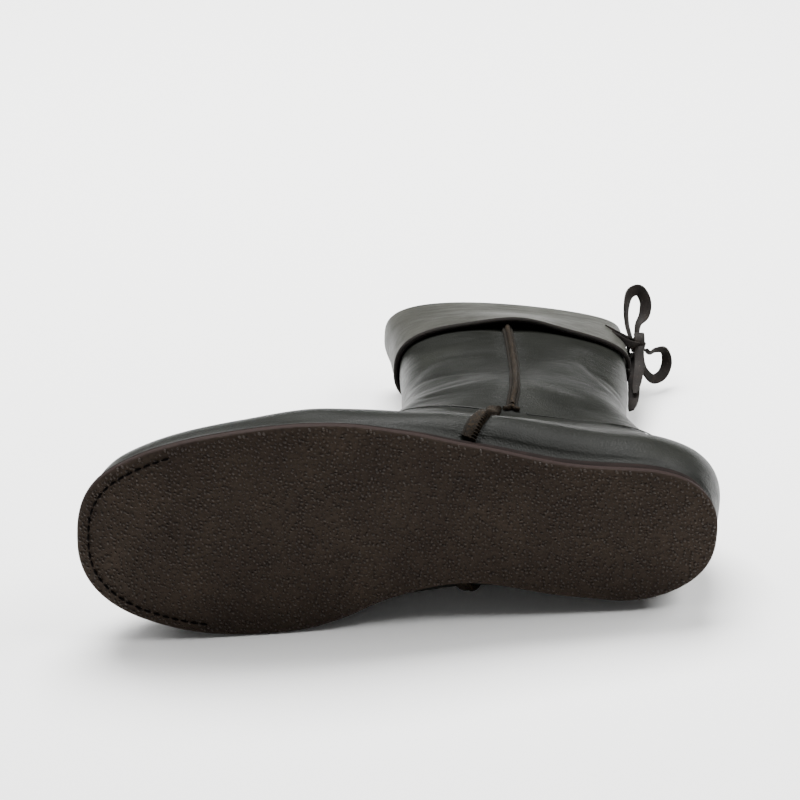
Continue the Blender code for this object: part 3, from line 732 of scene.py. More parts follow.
def set_inputs(tree, node, inputs):
    """Links or sets inputs of a node; a node given as a value stands for its first output."""
    for name, value in inputs.items():
        if isinstance(value, bpy.types.Node):
            value = value.outputs[0]
        if isinstance(value, bpy.types.NodeSocket):
            tree.links.new(value, node.inputs[name])
        else:
            node.inputs[name].default_value = value


def add_node(tree, kind, inputs=None, stops=(), **settings):
    """Node with its settings and inputs, and with the stops of its colour ramp if it has one."""
    made = tree.nodes.new(kind)
    for name, value in settings.items():
        setattr(made, name, value)
    set_inputs(tree, made, inputs or {})
    for number, (position, hex_value) in enumerate(stops):
        elements = made.color_ramp.elements
        element = elements[number] if number < len(elements) else elements.new(position)
        element.position = position
        element.color = colour(hex_value)
    return made


def new_finish(name, roughness, shine=0.5):
    """Material with its roughness and specular level, its tree, its shader and its place input."""
    finish = bpy.data.materials.new(name)
    finish.use_nodes = True
    tree = finish.node_tree
    shader = tree.nodes["Principled BSDF"]
    shader.inputs["Roughness"].default_value = roughness
    shader.inputs["Specular IOR Level"].default_value = shine
    return finish, tree, shader, add_node(tree, "ShaderNodeTexCoord").outputs["Object"]


def nappa_leather(name, dark, middle, light, roughness, shine, drawn_mm):
    # Drum-dyed nappa: fine closed grain of under a millimetre, soft satin shine, slight wear
    # where it is pulled tight; seam_pull marks the short creases beside the seams
    finish, tree, shader, place = new_finish(name, roughness, shine)
    cloud = add_node(tree, "ShaderNodeTexNoise", {
        "Vector": place, "Scale": 1 / (34 * MM), "Detail": 4, "Roughness": 0.6})
    tone = add_node(tree, "ShaderNodeValToRGB", {"Fac": cloud}, [(0.32, dark), (0.52, middle), (0.72, light)])
    grain = add_node(tree, "ShaderNodeTexVoronoi", {"Vector": place, "Scale": 1 / (0.85 * MM)})
    fine = add_node(tree, "ShaderNodeTexNoise", {
        "Vector": place, "Scale": 1 / (0.5 * MM), "Detail": 4, "Roughness": 0.65})
    drawn_out = add_node(tree, "ShaderNodeMapping", {
        "Vector": place, "Scale": (0.22, 1.0, 1.0), "Rotation": (0.0, 0.0, 0.35)})
    drawn = add_node(tree, "ShaderNodeTexNoise", {
        "Vector": drawn_out, "Scale": 1 / (3.4 * MM), "Detail": 4, "Roughness": 0.55})
    rubbed = add_node(tree, "ShaderNodeMapping", {
        "Vector": place, "Scale": (0.18, 1.0, 0.5), "Rotation": (0.0, 0.2, 0.9)})
    scuffs = add_node(tree, "ShaderNodeTexNoise", {
        "Vector": rubbed, "Scale": 1 / (2.2 * MM), "Detail": 5, "Roughness": 0.7})
    dulled = add_node(tree, "ShaderNodeMapRange", {
        "Value": scuffs, "From Min": 0.3, "From Max": 0.75,
        "To Min": roughness - 0.06, "To Max": roughness + 0.12})
    across_seam = add_node(tree, "ShaderNodeMapping", {"Vector": place, "Scale": (0.35, 1.6, 0.35)})
    creases = add_node(tree, "ShaderNodeTexNoise", {
        "Vector": across_seam, "Scale": 1 / (1.5 * MM), "Detail": 3, "Roughness": 0.6})
    pull = add_node(tree, "ShaderNodeAttribute", attribute_name="seam_pull").outputs["Fac"]
    puckers = add_node(tree, "ShaderNodeMath", {0: creases, 1: pull}, operation="MULTIPLY")
    relief = add_node(tree, "ShaderNodeBump", {"Height": drawn, "Distance": drawn_mm * MM})
    for height, depth_mm in ((puckers, 0.9), (grain, 0.09), (fine, 0.04)):
        relief = add_node(tree, "ShaderNodeBump", {
            "Height": height, "Distance": depth_mm * MM, "Normal": relief})
    set_inputs(tree, shader, {"Base Color": tone, "Roughness": dulled, "IOR": 1.48, "Normal": relief})
    return finish


def crepe_rubber(name, roughness, shine):
    # Moulded crepe: matt brown rubber with small pits between the pebbles; the edge is trimmed
    # with a knife, which leaves it darker than the moulded face
    finish, tree, shader, place = new_finish(name, roughness, shine)
    cloud = add_node(tree, "ShaderNodeTexNoise", {
        "Vector": place, "Scale": 1 / (26 * MM), "Detail": 4, "Roughness": 0.6})
    tone = add_node(tree, "ShaderNodeValToRGB", {"Fac": cloud}, [
        (0.3, "#231B15"), (0.55, "#29211A"), (0.75, "#30271F")])
    dust = add_node(tree, "ShaderNodeTexNoise", {
        "Vector": place, "Scale": 1 / (1.3 * MM), "Detail": 3, "Roughness": 0.6})
    speck = add_node(tree, "ShaderNodeValToRGB", {"Fac": dust}, [(0.35, "#3B322E"), (0.5, "#FFFFFF")])
    mixed = add_node(tree, "ShaderNodeMix", {0: 0.35, 6: tone, 7: speck},
                     data_type="RGBA", blend_type="MULTIPLY")
    facing = add_node(tree, "ShaderNodeNewGeometry").outputs["True Normal"]
    facing = add_node(tree, "ShaderNodeSeparateXYZ", {"Vector": facing}).outputs["Y"]
    upright = add_node(tree, "ShaderNodeMath", {0: facing}, operation="ABSOLUTE")
    moulded = add_node(tree, "ShaderNodeMapRange", {
        "Value": upright, "From Min": 0.35, "From Max": 0.75, "To Min": 0.0, "To Max": 1.0})
    trimmed = add_node(tree, "ShaderNodeMix", {
        0: moulded, 6: colour("#1A0F0C"), 7: mixed.outputs[2]}, data_type="RGBA")
    turned = add_node(tree, "ShaderNodeMapping", {
        "Vector": place, "Scale": (0.75, 1.0, 1.25), "Rotation": (0.0, 0.6, 0.0)})
    pebble = add_node(tree, "ShaderNodeTexVoronoi", {
        "Vector": turned, "Scale": 1 / (2.0 * MM), "Smoothness": 0.5}, feature="SMOOTH_F1")
    pores = add_node(tree, "ShaderNodeTexNoise", {
        "Vector": place, "Scale": 1 / (0.9 * MM), "Detail": 4, "Roughness": 0.7})
    relief = add_node(tree, "ShaderNodeBump", {"Height": pebble, "Distance": -0.25 * MM})
    relief = add_node(tree, "ShaderNodeBump", {"Height": pores, "Distance": 0.14 * MM, "Normal": relief})
    set_inputs(tree, shader, {"Base Color": trimmed.outputs[2], "Normal": relief})
    return finish


def foam_rubber_wedge():
    # Cut foam rubber: matt reddish brown with fine pores and a few rubbed streaks
    finish, tree, shader, place = new_finish("cut_foam_rubber", 0.85, 0.08)
    lengthwise = add_node(tree, "ShaderNodeMapping", {"Vector": place, "Scale": (0.15, 1.0, 1.0)})
    streaks = add_node(tree, "ShaderNodeTexNoise", {
        "Vector": lengthwise, "Scale": 1 / (2.6 * MM), "Detail": 4, "Roughness": 0.6})
    tone = add_node(tree, "ShaderNodeValToRGB", {"Fac": streaks}, [
        (0.3, "#0C0706"), (0.55, "#130C0A"), (0.75, "#1E1512")])
    pores = add_node(tree, "ShaderNodeTexNoise", {
        "Vector": place, "Scale": 1 / (0.7 * MM), "Detail": 4, "Roughness": 0.7})
    relief = add_node(tree, "ShaderNodeBump", {"Height": pores, "Distance": 0.18 * MM})
    set_inputs(tree, shader, {"Base Color": tone, "Normal": relief})
    return finish


def suede(name, dark, middle, light):
    # Split leather with a short nap: matt, fibrous, lighter where the nap stands up
    finish, tree, shader, place = new_finish(name, 0.88, 0.15)
    nap = add_node(tree, "ShaderNodeTexNoise", {
        "Vector": place, "Scale": 1 / (0.9 * MM), "Detail": 5, "Roughness": 0.7})
    tone = add_node(tree, "ShaderNodeValToRGB", {"Fac": nap}, [(0.32, dark), (0.5, middle), (0.68, light)])
    fibres = add_node(tree, "ShaderNodeTexNoise", {
        "Vector": place, "Scale": 1 / (0.35 * MM), "Detail": 3, "Roughness": 0.6})
    relief = add_node(tree, "ShaderNodeBump", {"Height": nap, "Distance": 0.35 * MM})
    relief = add_node(tree, "ShaderNodeBump", {"Height": fibres, "Distance": 0.12 * MM, "Normal": relief})
    set_inputs(tree, shader, {"Base Color": tone, "Normal": relief})
    return finish


def lace_leather():
    # Flat cut leather lace: dark brown, dry surface with tiny pale flecks where the grain cracks
    finish, tree, shader, place = new_finish("cut_leather_lace", 0.7, 0.15)
    cloud = add_node(tree, "ShaderNodeTexNoise", {
        "Vector": place, "Scale": 1 / (5 * MM), "Detail": 4, "Roughness": 0.6})
    tone = add_node(tree, "ShaderNodeValToRGB", {"Fac": cloud}, [
        (0.3, "#0B0806"), (0.55, "#130E0B"), (0.75, "#1E1712")])
    cracks = add_node(tree, "ShaderNodeTexNoise", {
        "Vector": place, "Scale": 1 / (0.7 * MM), "Detail": 4, "Roughness": 0.7})
    fleck = add_node(tree, "ShaderNodeValToRGB", {"Fac": cracks}, [(0.62, "#000000"), (0.72, "#5A5248")])
    mixed = add_node(tree, "ShaderNodeMix", {0: 0.8, 6: tone, 7: fleck},
                     data_type="RGBA", blend_type="LIGHTEN")
    grain = add_node(tree, "ShaderNodeTexNoise", {
        "Vector": place, "Scale": 1 / (0.8 * MM), "Detail": 4, "Roughness": 0.65})
    relief = add_node(tree, "ShaderNodeBump", {"Height": grain, "Distance": 0.16 * MM})
    set_inputs(tree, shader, {"Base Color": mixed.outputs[2], "Normal": relief})
    return finish


def waxed_thread(name, hex_value):
    # Twisted and waxed sewing thread, with painted shade that makes it nearly black in the hollows between
    # its plies
    finish, tree, shader, place = new_finish(name, 0.85, 0.04)
    painted_twist_shade = add_node(tree, "ShaderNodeTexNoise", {
        "Vector": place, "Scale": 1 / (0.6 * MM), "Detail": 2, "Roughness": 0.5})
    tone = add_node(tree, "ShaderNodeValToRGB", {"Fac": painted_twist_shade}, [(0.3, "#030202"), (0.8, hex_value)])
    fibres = add_node(tree, "ShaderNodeTexNoise", {
        "Vector": place, "Scale": 1 / (0.4 * MM), "Detail": 2, "Roughness": 0.5})
    relief = add_node(tree, "ShaderNodeBump", {"Height": fibres, "Distance": 0.1 * MM})
    set_inputs(tree, shader, {"Base Color": tone, "Normal": relief})
    return finish


def lining_leather():
    # Unfinished pigskin lining: matt warm grey with a fine nap
    finish, tree, shader, place = new_finish("pigskin_lining", 0.85)
    cloud = add_node(tree, "ShaderNodeTexNoise", {
        "Vector": place, "Scale": 1 / (9 * MM), "Detail": 4, "Roughness": 0.6})
    tone = add_node(tree, "ShaderNodeValToRGB", {"Fac": cloud}, [(0.3, "#5E5146"), (0.7, "#776757")])
    grain = add_node(tree, "ShaderNodeTexVoronoi", {"Vector": place, "Scale": 1 / (1.3 * MM)})
    nap = add_node(tree, "ShaderNodeTexNoise", {
        "Vector": place, "Scale": 1 / (0.5 * MM), "Detail": 3, "Roughness": 0.6})
    relief = add_node(tree, "ShaderNodeBump", {"Height": grain, "Distance": 0.1 * MM})
    relief = add_node(tree, "ShaderNodeBump", {"Height": nap, "Distance": 0.1 * MM, "Normal": relief})
    set_inputs(tree, shader, {"Base Color": tone, "Normal": relief})
    return finish


def studio_floor():
    # Smooth pale paint
    finish, _, shader, _ = new_finish("matt_pale_floor", 0.9, 0.1)
    shader.inputs["Base Color"].default_value = colour("#FBFBFA")
    return finish


UPPER_LEATHER = nappa_leather("drum_dyed_nappa", "#0E0F0C", "#131411", "#191A16", 0.42, 0.11, 0.08)
# The cuff's nappa is painted lighter than the upper's: partly a softer, lighter leather, partly painted light
# where the cuff's leaf faces up to the overhead softbox
LIGHTER_CUFF_NAPPA_WITH_PAINTED_LIGHT = nappa_leather("softened_nappa_with_painted_light", "#262622", "#31312D", "#3C3C38", 0.46, 0.08, 0.30)
CREPE = crepe_rubber("moulded_crepe_rubber", 0.75, 0.12)
CREPE_TOPS = crepe_rubber("crepe_rubber_rubbed_smooth", 0.45, 0.26)
WEDGE = foam_rubber_wedge()
PIPING_SUEDE = suede("brushed_split_leather", "#080502", "#110B04", "#2B2011")
TRIM_SUEDE = suede("brushed_dark_split_leather", "#070503", "#0D0A05", "#1D160D")
BINDING_SUEDE = suede("folded_split_leather", "#070504", "#0C0907", "#1A1410")
LACE = lace_leather()
SOLE_THREAD = waxed_thread("waxed_black_thread", "#080504")
SEAM_THREAD = waxed_thread("waxed_brown_thread", "#241B13")
LINING = lining_leather()


# Sole


def sole_edge(count, inset=0.0):
    """Sole outline as x and y, moved inwards."""
    theta = np.arange(2 * count) * math.pi / count
    x = station_of(theta) * SOLE_LENGTH
    y = outline_half(theta)
    along = unit(np.stack([np.roll(x, -1) - np.roll(x, 1), np.roll(y, -1) - np.roll(y, 1)], axis=1))
    x = x + along[:, 1] * inset
    y = y - along[:, 0] * inset
    y[0] = 0
    y[count] = 0
    return x, y


def sole_plate(name, layers):
    """Closed plate from layers of inset and height function, with cross strips over both ends."""
    count = SOLE_STATIONS
    loops = []
    for inset, height in layers:
        x, y = sole_edge(count, inset)
        loops.append(np.stack([x, y, height(x)], axis=1))
    bm = bmesh.new()
    rings = ring_walls(bm, [to_floor(loop) for loop in loops])
    for ring in (rings[0], rings[-1]):
        bm.faces.new((ring[0], ring[1], ring[-1]))
        for i in range(1, count - 1):
            bm.faces.new((ring[i], ring[i + 1], ring[-i - 1], ring[-i]))
        bm.faces.new((ring[count - 1], ring[count], ring[count + 1]))
    return finish_solid(name, bm, SOLE_SHARP_FROM)


def make_tread():
    """Crepe tread with a rounded lower edge."""
    def level(rise):
        return lambda x: tread_height(x) + rise

    layers = [
        (1.0 * MM, level(0.15 * MM)), (0.45 * MM, level(0.35 * MM)), (0.1 * MM, level(0.9 * MM)),
        (0.0, level(1.6 * MM)), (0.15 * MM, level(TREAD_THICKNESS)),
    ]
    return dress(sole_plate("crepe_tread", layers), CREPE, "crepe_rubber", "outsole")


def make_wedge():
    """Foam wedge between the tread and the upper."""
    def under(x):
        return tread_height(x) + TREAD_THICKNESS

    layers = [
        (0.5 * MM, under),
        (0.25 * MM, lambda x: under(x) + 0.3 * MM),
        (0.35 * MM, lambda x: sole_top(x) - 0.3 * MM),
        (0.9 * MM, sole_top),
    ]
    return dress(sole_plate("foam_wedge", layers), WEDGE, "wedge_rubber", "midsole")


# Repeated details, made with geometry nodes


def new_tree(name, sizes):
    """Empty geometry tree with named size inputs, and its input node."""
    tree = bpy.data.node_groups.new(name, "GeometryNodeTree")
    tree.interface.new_socket("Geometry", in_out="INPUT", socket_type="NodeSocketGeometry")
    for size in sizes:
        tree.interface.new_socket(size, in_out="INPUT", socket_type="NodeSocketFloat")
    tree.interface.new_socket("Geometry", in_out="OUTPUT", socket_type="NodeSocketGeometry")
    return tree, tree.nodes.new("NodeGroupInput")


def end_tree(tree, geometry, finish):
    """Realize Instances and Set Material, then the output."""
    real = add_node(tree, "GeometryNodeRealizeInstances", {"Geometry": geometry})
    painted = add_node(tree, "GeometryNodeSetMaterial", {
        "Geometry": real.outputs["Geometry"], "Material": finish})
    out = tree.nodes.new("NodeGroupOutput")
    tree.links.new(painted.outputs["Geometry"], out.inputs["Geometry"])


def grow(carrier, tree, sizes, name):
    """Runs a tree on a carrier and leaves its result as a plain mesh object."""
    step = carrier.modifiers.new("repeat", "NODES")
    step.node_group = tree
    for item in tree.interface.items_tree:
        if item.in_out == "INPUT" and item.name in sizes:
            step[item.identifier] = sizes[item.name]
    graph = bpy.context.evaluated_depsgraph_get()
    mesh = bpy.data.meshes.new_from_object(carrier.evaluated_get(graph), depsgraph=graph)
    bpy.data.objects.remove(carrier, do_unlink=True)
    return finish_mesh(name, mesh)


# Most pebbles in a square metre before their spacing, and their least and greatest size
PEBBLE_DENSITY = 900000.0
PEBBLE_SIZES = (0.45, 1.25)


def pebble_tree():
    """Flat domes scattered over a tread face, turned roughly one way."""
    tree, given = new_tree("tread_pebbles", ["Spacing", "Length", "Width", "Height"])
    scatter = add_node(tree, "GeometryNodeDistributePointsOnFaces", {
        "Mesh": given.outputs["Geometry"], "Distance Min": given.outputs["Spacing"],
        "Density Max": PEBBLE_DENSITY, "Seed": 7}, distribute_method="POISSON")
    extent = add_node(tree, "ShaderNodeCombineXYZ", {
        "X": given.outputs["Length"], "Y": given.outputs["Width"], "Z": given.outputs["Height"]})
    ball = add_node(tree, "GeometryNodeMeshUVSphere", {"Segments": 6, "Rings": 3, "Radius": 0.5})
    dome_shape = add_node(tree, "GeometryNodeTransform", {
        "Geometry": ball.outputs["Mesh"], "Scale": extent.outputs["Vector"]})
    swing = add_node(tree, "FunctionNodeRandomValue", {"Min": (0, 0, 0.2), "Max": (0, 0, 1.5), "Seed": 3},
                     data_type="FLOAT_VECTOR")
    turned = add_node(tree, "FunctionNodeRotateRotation", {
        "Rotation": scatter.outputs["Rotation"], "Rotate By": swing.outputs["Value"]},
        rotation_space="LOCAL")
    size = add_node(tree, "FunctionNodeRandomValue", {"Seed": 5}, data_type="FLOAT")
    size.inputs[2].default_value, size.inputs[3].default_value = PEBBLE_SIZES
    placed = add_node(tree, "GeometryNodeInstanceOnPoints", {
        "Points": scatter.outputs["Points"], "Instance": dome_shape.outputs["Geometry"],
        "Rotation": turned.outputs["Rotation"], "Scale": size.outputs[1]})
    end_tree(tree, placed.outputs["Instances"], CREPE_TOPS)
    return tree


def stitch_tree(finish):
    """Thread capsules at even steps along a route."""
    tree, given = new_tree("stitches_of_" + finish.name, ["Step", "Length", "Thickness"])
    steps = add_node(tree, "GeometryNodeResampleCurve", {
        "Curve": given.outputs["Geometry"], "Length": given.outputs["Step"]}, mode="LENGTH")
    tangent = add_node(tree, "GeometryNodeInputTangent")
    aim = add_node(tree, "FunctionNodeAlignRotationToVector", {
        "Vector": tangent.outputs["Tangent"]}, axis="X")
    size = add_node(tree, "ShaderNodeCombineXYZ", {
        "X": given.outputs["Length"], "Y": given.outputs["Thickness"], "Z": given.outputs["Thickness"]})
    ball = add_node(tree, "GeometryNodeMeshUVSphere", {"Segments": 8, "Rings": 6, "Radius": 0.5})
    thread = add_node(tree, "GeometryNodeTransform", {
        "Geometry": ball.outputs["Mesh"], "Scale": size.outputs["Vector"]})
    placed = add_node(tree, "GeometryNodeInstanceOnPoints", {
        "Points": steps.outputs["Curve"], "Instance": thread.outputs["Geometry"],
        "Rotation": aim.outputs["Rotation"]})
    end_tree(tree, placed.outputs["Instances"], finish)
    return tree


def route_object(name, points):
    """Plain curve through points in boot axes, to carry a tree."""
    curve = bpy.data.curves.new(name, "CURVE")
    curve.dimensions = "3D"
    spline = curve.splines.new("POLY")
    spline.points.add(len(points) - 1)
    for target, point in zip(spline.points, to_floor(points)):
        target.co = (*point, 1)
    return link_object(name, curve)


def stitches(name, points, tree, finish, slot, step, length, thickness):
    """Row of stitches along points in boot axes."""
    sizes = {"Step": step, "Length": length, "Thickness": thickness}
    made = grow(route_object(name + "_route", points), tree, sizes, name)
    return dress(made, finish, slot)


SOLE_STITCHES = stitch_tree(SOLE_THREAD)
SEAM_STITCHES = stitch_tree(SEAM_THREAD)

PEBBLE_SPACING = 1.3 * MM
PEBBLE_LENGTH = 1.7 * MM
PEBBLE_WIDTH = 1.0 * MM
PEBBLE_HEIGHT = 0.9 * MM
PEBBLE_EDGE = 1.0 * MM
# Height of the pebbles' middles over the underside, and points across the face they sit on
PEBBLE_SINK = 0.12 * MM
FACE_COLUMNS = 8
TOE_STITCH_INSET = 4.6 * MM
TOE_STITCH_STEP = 3.9 * MM
TOE_STITCH_LENGTH = 3.4 * MM
TOE_STITCH_THICKNESS = 1.0 * MM
TOE_STITCH_STAND = 0.45 * MM
TOE_STITCH_LATERAL = 229 * MM
TOE_STITCH_MEDIAL = 213 * MM


def make_pebbles():
    """Pebbles of the crepe over the tread face."""
    count = SOLE_STATIONS
    x, y = sole_edge(count, PEBBLE_EDGE)
    rows = []
    for i in range(2, count - 1):
        across = np.linspace(y[-i], y[i], FACE_COLUMNS)
        height = np.full(FACE_COLUMNS, tread_height(x[i]) + PEBBLE_SINK)
        rows.append(np.stack([np.full(FACE_COLUMNS, x[i]), across, height], axis=1))
    face = mesh_from_rows("tread_face", rows, False)
    sizes = {
        "Spacing": PEBBLE_SPACING,
        "Length": PEBBLE_LENGTH,
        "Width": PEBBLE_WIDTH,
        "Height": PEBBLE_HEIGHT,
    }
    return dress(grow(face, pebble_tree(), sizes, "tread_pebbles"), CREPE_TOPS, "crepe_rubber")


def make_toe_stitching():
    """Black stitches round the toe, ending further back on the medial side."""
    x, y = sole_edge(400, TOE_STITCH_INSET)
    order = [i for i in range(len(x)) if x[i] > (TOE_STITCH_LATERAL if y[i] > 0 else TOE_STITCH_MEDIAL)]
    route = np.stack([x[order], y[order], tread_height(x[order]) - TOE_STITCH_STAND], axis=1)
    return stitches("toe_stitches", route, SOLE_STITCHES, SOLE_THREAD, "crepe_rubber",
                    TOE_STITCH_STEP, TOE_STITCH_LENGTH, TOE_STITCH_THICKNESS)


# Upper


def seam_routes():
    """Theta and level of the lower side seam and of the shaft seam, on the lateral side."""
    fork_height = FORK[1] * INSTEP_HEIGHT
    lower = [place_on_side(station, height * INSTEP_HEIGHT) for station, height in SIDE_SEAM_ROUTE]
    shaft = [
        place_on_side(station, fork_height + share * (COLLAR_HEIGHT - fork_height))
        for station, share in SHAFT_SEAM_ROUTE
    ]
    return smooth_path(lower, 40), smooth_path(shaft, 60), place_on_side(FORK[0], fork_height)


LOWER_SEAM, SHAFT_SEAM, FORK_PLACE = seam_routes()
# The binding leans a little further back than the solid seam beneath it
BOUND_ROUTE = [(0.400, 0.125), (0.386, 0.21), (0.368, 0.34), (0.352, 0.52), (0.339, 0.72), (0.331, 0.82)]
BOUND_SEAM = smooth_path([place_on_side(x, z * INSTEP_HEIGHT) for x, z in BOUND_ROUTE], 48)
# How deep the leather is drawn in at a seam, how far it puckers beside it in millimetres, and
# what share of the folds and waves the seam holds flat
SEAM_SINK = 0.5 * MM
PUCKER_REACH = 7.0
SEAM_HOLD = 0.6
# Level of the first row over the feather edge, and how the rows crowd towards it
FIRST_ROW = 0.012
ROW_CROWDING = 1.2
SLACK_HEIGHT = 0.35 * MM
# Heights between which the folds and waves begin over the sole and end under the cuff
FOLDS_BEGIN = (6 * MM, 22 * MM)
FOLDS_END = (196 * MM, 212 * MM)
VAMP_FULLNESS = 1.6 * MM
# Where the vamp's fullness comes and goes: along the boot, across it and up, in millimetres
VAMP_BEGINS = (130, 175)
VAMP_ENDS = (245, 262)
VAMP_ACROSS = (8, 26)
VAMP_RISES = (7, 16)
VAMP_FALLS = (34, 60)


def seam_nearness(point):
    """One beside the side seams, falling to nothing a few millimetres away."""
    places = point[..., [0, 2]] / MM
    near = np.zeros(point.shape[:-1])
    for path in (LOWER_SEAM, SHAFT_SEAM):
        route = surface(path[:, 0], path[:, 1])[:, [0, 2]] / MM
        away = np.abs(distance_to_route(places, route[::4])[0])
        near = np.maximum(near, np.exp(-((away / PUCKER_REACH) ** 2)))
    return near


def add_attribute(thing, name, values):
    """One number for each corner of a mesh, for its material."""
    data = thing.data.attributes.new(name, "FLOAT", "POINT")
    data.data.foreach_set("value", np.asarray(values, np.float32).ravel())


def vamp_fullness(point):
    """The lateral side of the vamp swells a little over the sole's edge."""
    x, y, z = (point[..., k] / MM for k in range(3))
    along = smooth_step(x, *VAMP_BEGINS) * (1 - smooth_step(x, *VAMP_ENDS))
    up = smooth_step(z, *VAMP_RISES) * (1 - smooth_step(z, *VAMP_FALLS))
    return VAMP_FULLNESS * along * smooth_step(y, *VAMP_ACROSS) * up


def make_upper():
    """Hollow leather wall with its folds, waves and puckers."""
    theta = np.arange(AROUND) * 2 * math.pi / AROUND
    rising = np.linspace(FIRST_ROW ** (1 / ROW_CROWDING), 1, UP) ** ROW_CROWDING
    levels = np.concatenate([[0], rising])
    point = surface(theta[None, :], levels[:, None])
    _, normal = surface_frame(theta[None, :], np.clip(levels, 1 - TOP_LEVEL, TOP_LEVEL)[:, None])
    relief = fold_relief(point) + soft_waves(point, SLACK_HEIGHT)
    near = seam_nearness(point)
    relief = relief * (1 - SEAM_HOLD * near) - SEAM_SINK * near + vamp_fullness(point)
    height = point[..., 2]
    free = smooth_step(height, *FOLDS_BEGIN) * (1 - smooth_step(height, *FOLDS_END))
    point = point + normal * (relief * free)[..., None]
    feather = point[0].copy()
    point[0] = feather + [0, 0, FEATHER_STEP]
    rows = np.concatenate([feather[None], point])
    upper = mesh_from_rows("nappa_upper", rows, True)
    add_attribute(upper, "seam_pull", np.concatenate([near[:1], near]))
    return dress(give_wall(upper, LEATHER_WALL), UPPER_LEATHER, "upper_leather", "upper")


# Cuff

# The leather settles a little closer over the shaft seams than the solid's clearance
CUFF_SETTLE = 0.9
CUFF_ROWS = 30
RIM_ROWS = 7
# How far in from the shaft's face the rounded rim turns
RIM_TURN = 0.2 * LEATHER_WALL
# Binding of the cuff's edge: half its height and width, and how far it hangs below the edge
BINDING_HALF_HEIGHT = 1.5 * MM
BINDING_HALF_WIDTH = 1.15 * MM
BINDING_HANG = 0.5 * MM


def cuff_columns(height, count):
    """Even angles round the cuff, from one side of the slit to the other."""
    start = slit_angle(height)
    share = np.linspace(0, 1, count)
    return start + (2 * math.pi - 2 * start) * share


def cuff_relief(rows, share):
    """Soft lengthwise rolls of the turned-down leather."""
    x, z = rows[..., 0] / MM, rows[..., 2] / MM
    roll = np.sin(z / 4.4 + 0.035 * x + 0.8 * np.sin(x / 24.0)) * 0.16
    slack = np.sin(x / 17.0 + z / 30.0 + rows[..., 1] / MM / 14.0) * 0.30
    middle = np.sin(math.pi * np.clip(share, 0, 1))
    return (roll + slack) * MM * middle


def make_cuff():
    """Turned-down leaf from its lower edge up and over the upper's rim."""
    outside = CUFF_GAP + CUFF_LEATHER
    rim = COLLAR_HEIGHT + 2 * CLEARANCE + CUFF_LEATHER
    shares = np.linspace(1, 0.02, CUFF_ROWS)
    rows = []
    for share in shares:
        height = COLLAR_HEIGHT - CUFF_DROP * share
        theta = cuff_columns(height, CUFF_ACROSS)
        rows.append(shaft_ring(theta, height, outside + CUFF_SETTLE * seam_lift(theta, height)))
    theta = cuff_columns(COLLAR_HEIGHT, CUFF_ACROSS)
    turn = np.linspace(0.15, 1.0, RIM_ROWS) * math.pi / 2
    reach = outside + RIM_TURN
    for angle in turn:
        stand_off = reach * math.cos(angle) - RIM_TURN
        height = COLLAR_HEIGHT + (rim - COLLAR_HEIGHT) * math.sin(angle)
        rows.append(shaft_ring(theta, height, np.full(len(theta), stand_off)))
    rows.append(shaft_ring(theta, rim - 0.2 * MM, np.full(len(theta), -LEATHER_WALL)))
    rows.append(shaft_ring(theta, rim - 1.6 * MM, np.full(len(theta), -LEATHER_WALL - 0.9 * MM)))
    rows = np.array(rows)
    share = np.concatenate([shares, np.zeros(len(rows) - len(shares))])[:, None]
    out = rows - rows.mean(axis=1, keepdims=True)
    out[..., 2] = 0
    rows = rows + unit(out) * cuff_relief(rows, share)[..., None]
    cuff = mesh_from_rows("turned_down_cuff", rows, False)
    add_attribute(cuff, "seam_pull", np.zeros(rows.shape[:2]))
    # The cuff's finish holds painted light on top of its lighter leather
    return dress(give_wall(cuff, CUFF_LEATHER), LIGHTER_CUFF_NAPPA_WITH_PAINTED_LIGHT, "cuff_leather", "cuff")


def make_binding():
    """Folded strip of suede over the cuff's lower edge."""
    foot = COLLAR_HEIGHT - CUFF_DROP
    theta = cuff_columns(foot, 200)
    middle = CUFF_GAP + CUFF_LEATHER / 2 + CUFF_SETTLE * seam_lift(theta, foot)
    centre = shaft_ring(theta, foot - BINDING_HANG, middle)
    out = unit(shaft_ring(theta, foot - BINDING_HANG, middle + 1 * MM) - centre)
    up = np.tile([0, 0, 1.0], (len(theta), 1))
    profile = oval(BINDING_HALF_HEIGHT, BINDING_HALF_WIDTH, 12, 0.8)
    made = swept("cuff_edge_binding", centre, up, out, profile)
    return dress(made, BINDING_SUEDE, "binding_suede", "cuff_binding")


# Raised seams


def seam_frames(path, lift):
    """Centre, side and outward directions of a seam that follows the leather."""
    point, normal = surface_frame(path[:, 0], path[:, 1])
    side = np.cross(normal, unit(np.gradient(point, axis=0)))
    return point + normal * lift, side, normal


def mirrored(path):
    """The same path on the medial side."""
    return np.stack([2 * math.pi - path[:, 0], path[:, 1]], axis=1)


PIPING_LIFT = 0.1 * MM
LIP_ASIDE = 1.7 * MM
LIP_WIDTH = 1.5 * MM
LIP_RISE = 1.05 * MM
# The binding of the lower side seam: its rise as a share of the solid's, how its width changes
# along it, its ribs, and its welt
SIDE_SEAM_LOW = 0.45
SIDE_SEAM_SHARES = (0.0, 0.12, 0.6, 1.0)
SIDE_SEAM_WIDTHS = (1.0, 1.5, 1.7, 1.5)
RIB_STEP = 1.5 * MM
RIB_THICKNESS = 3.2 * MM
RIB_LENGTH = 0.95 * MM
WELT_WIDTH = 1.6 * MM


def make_shaft_seam(name, path, node):
    """Suede piping: a rounded welt of slightly uneven width."""
    centre, side, out = seam_frames(path, PIPING_LIFT)
    step = np.arange(len(path))
    wander = 1 + 0.06 * np.sin(step * 0.9) + 0.04 * np.sin(step * 2.3)
    made = swept(name, centre, side, out, dome(SHAFT_SEAM_WIDTH, SEAM_RISE + SEAM_GAP, 11), wander)
    dress(made, PIPING_SUEDE, "seam_suede", node)


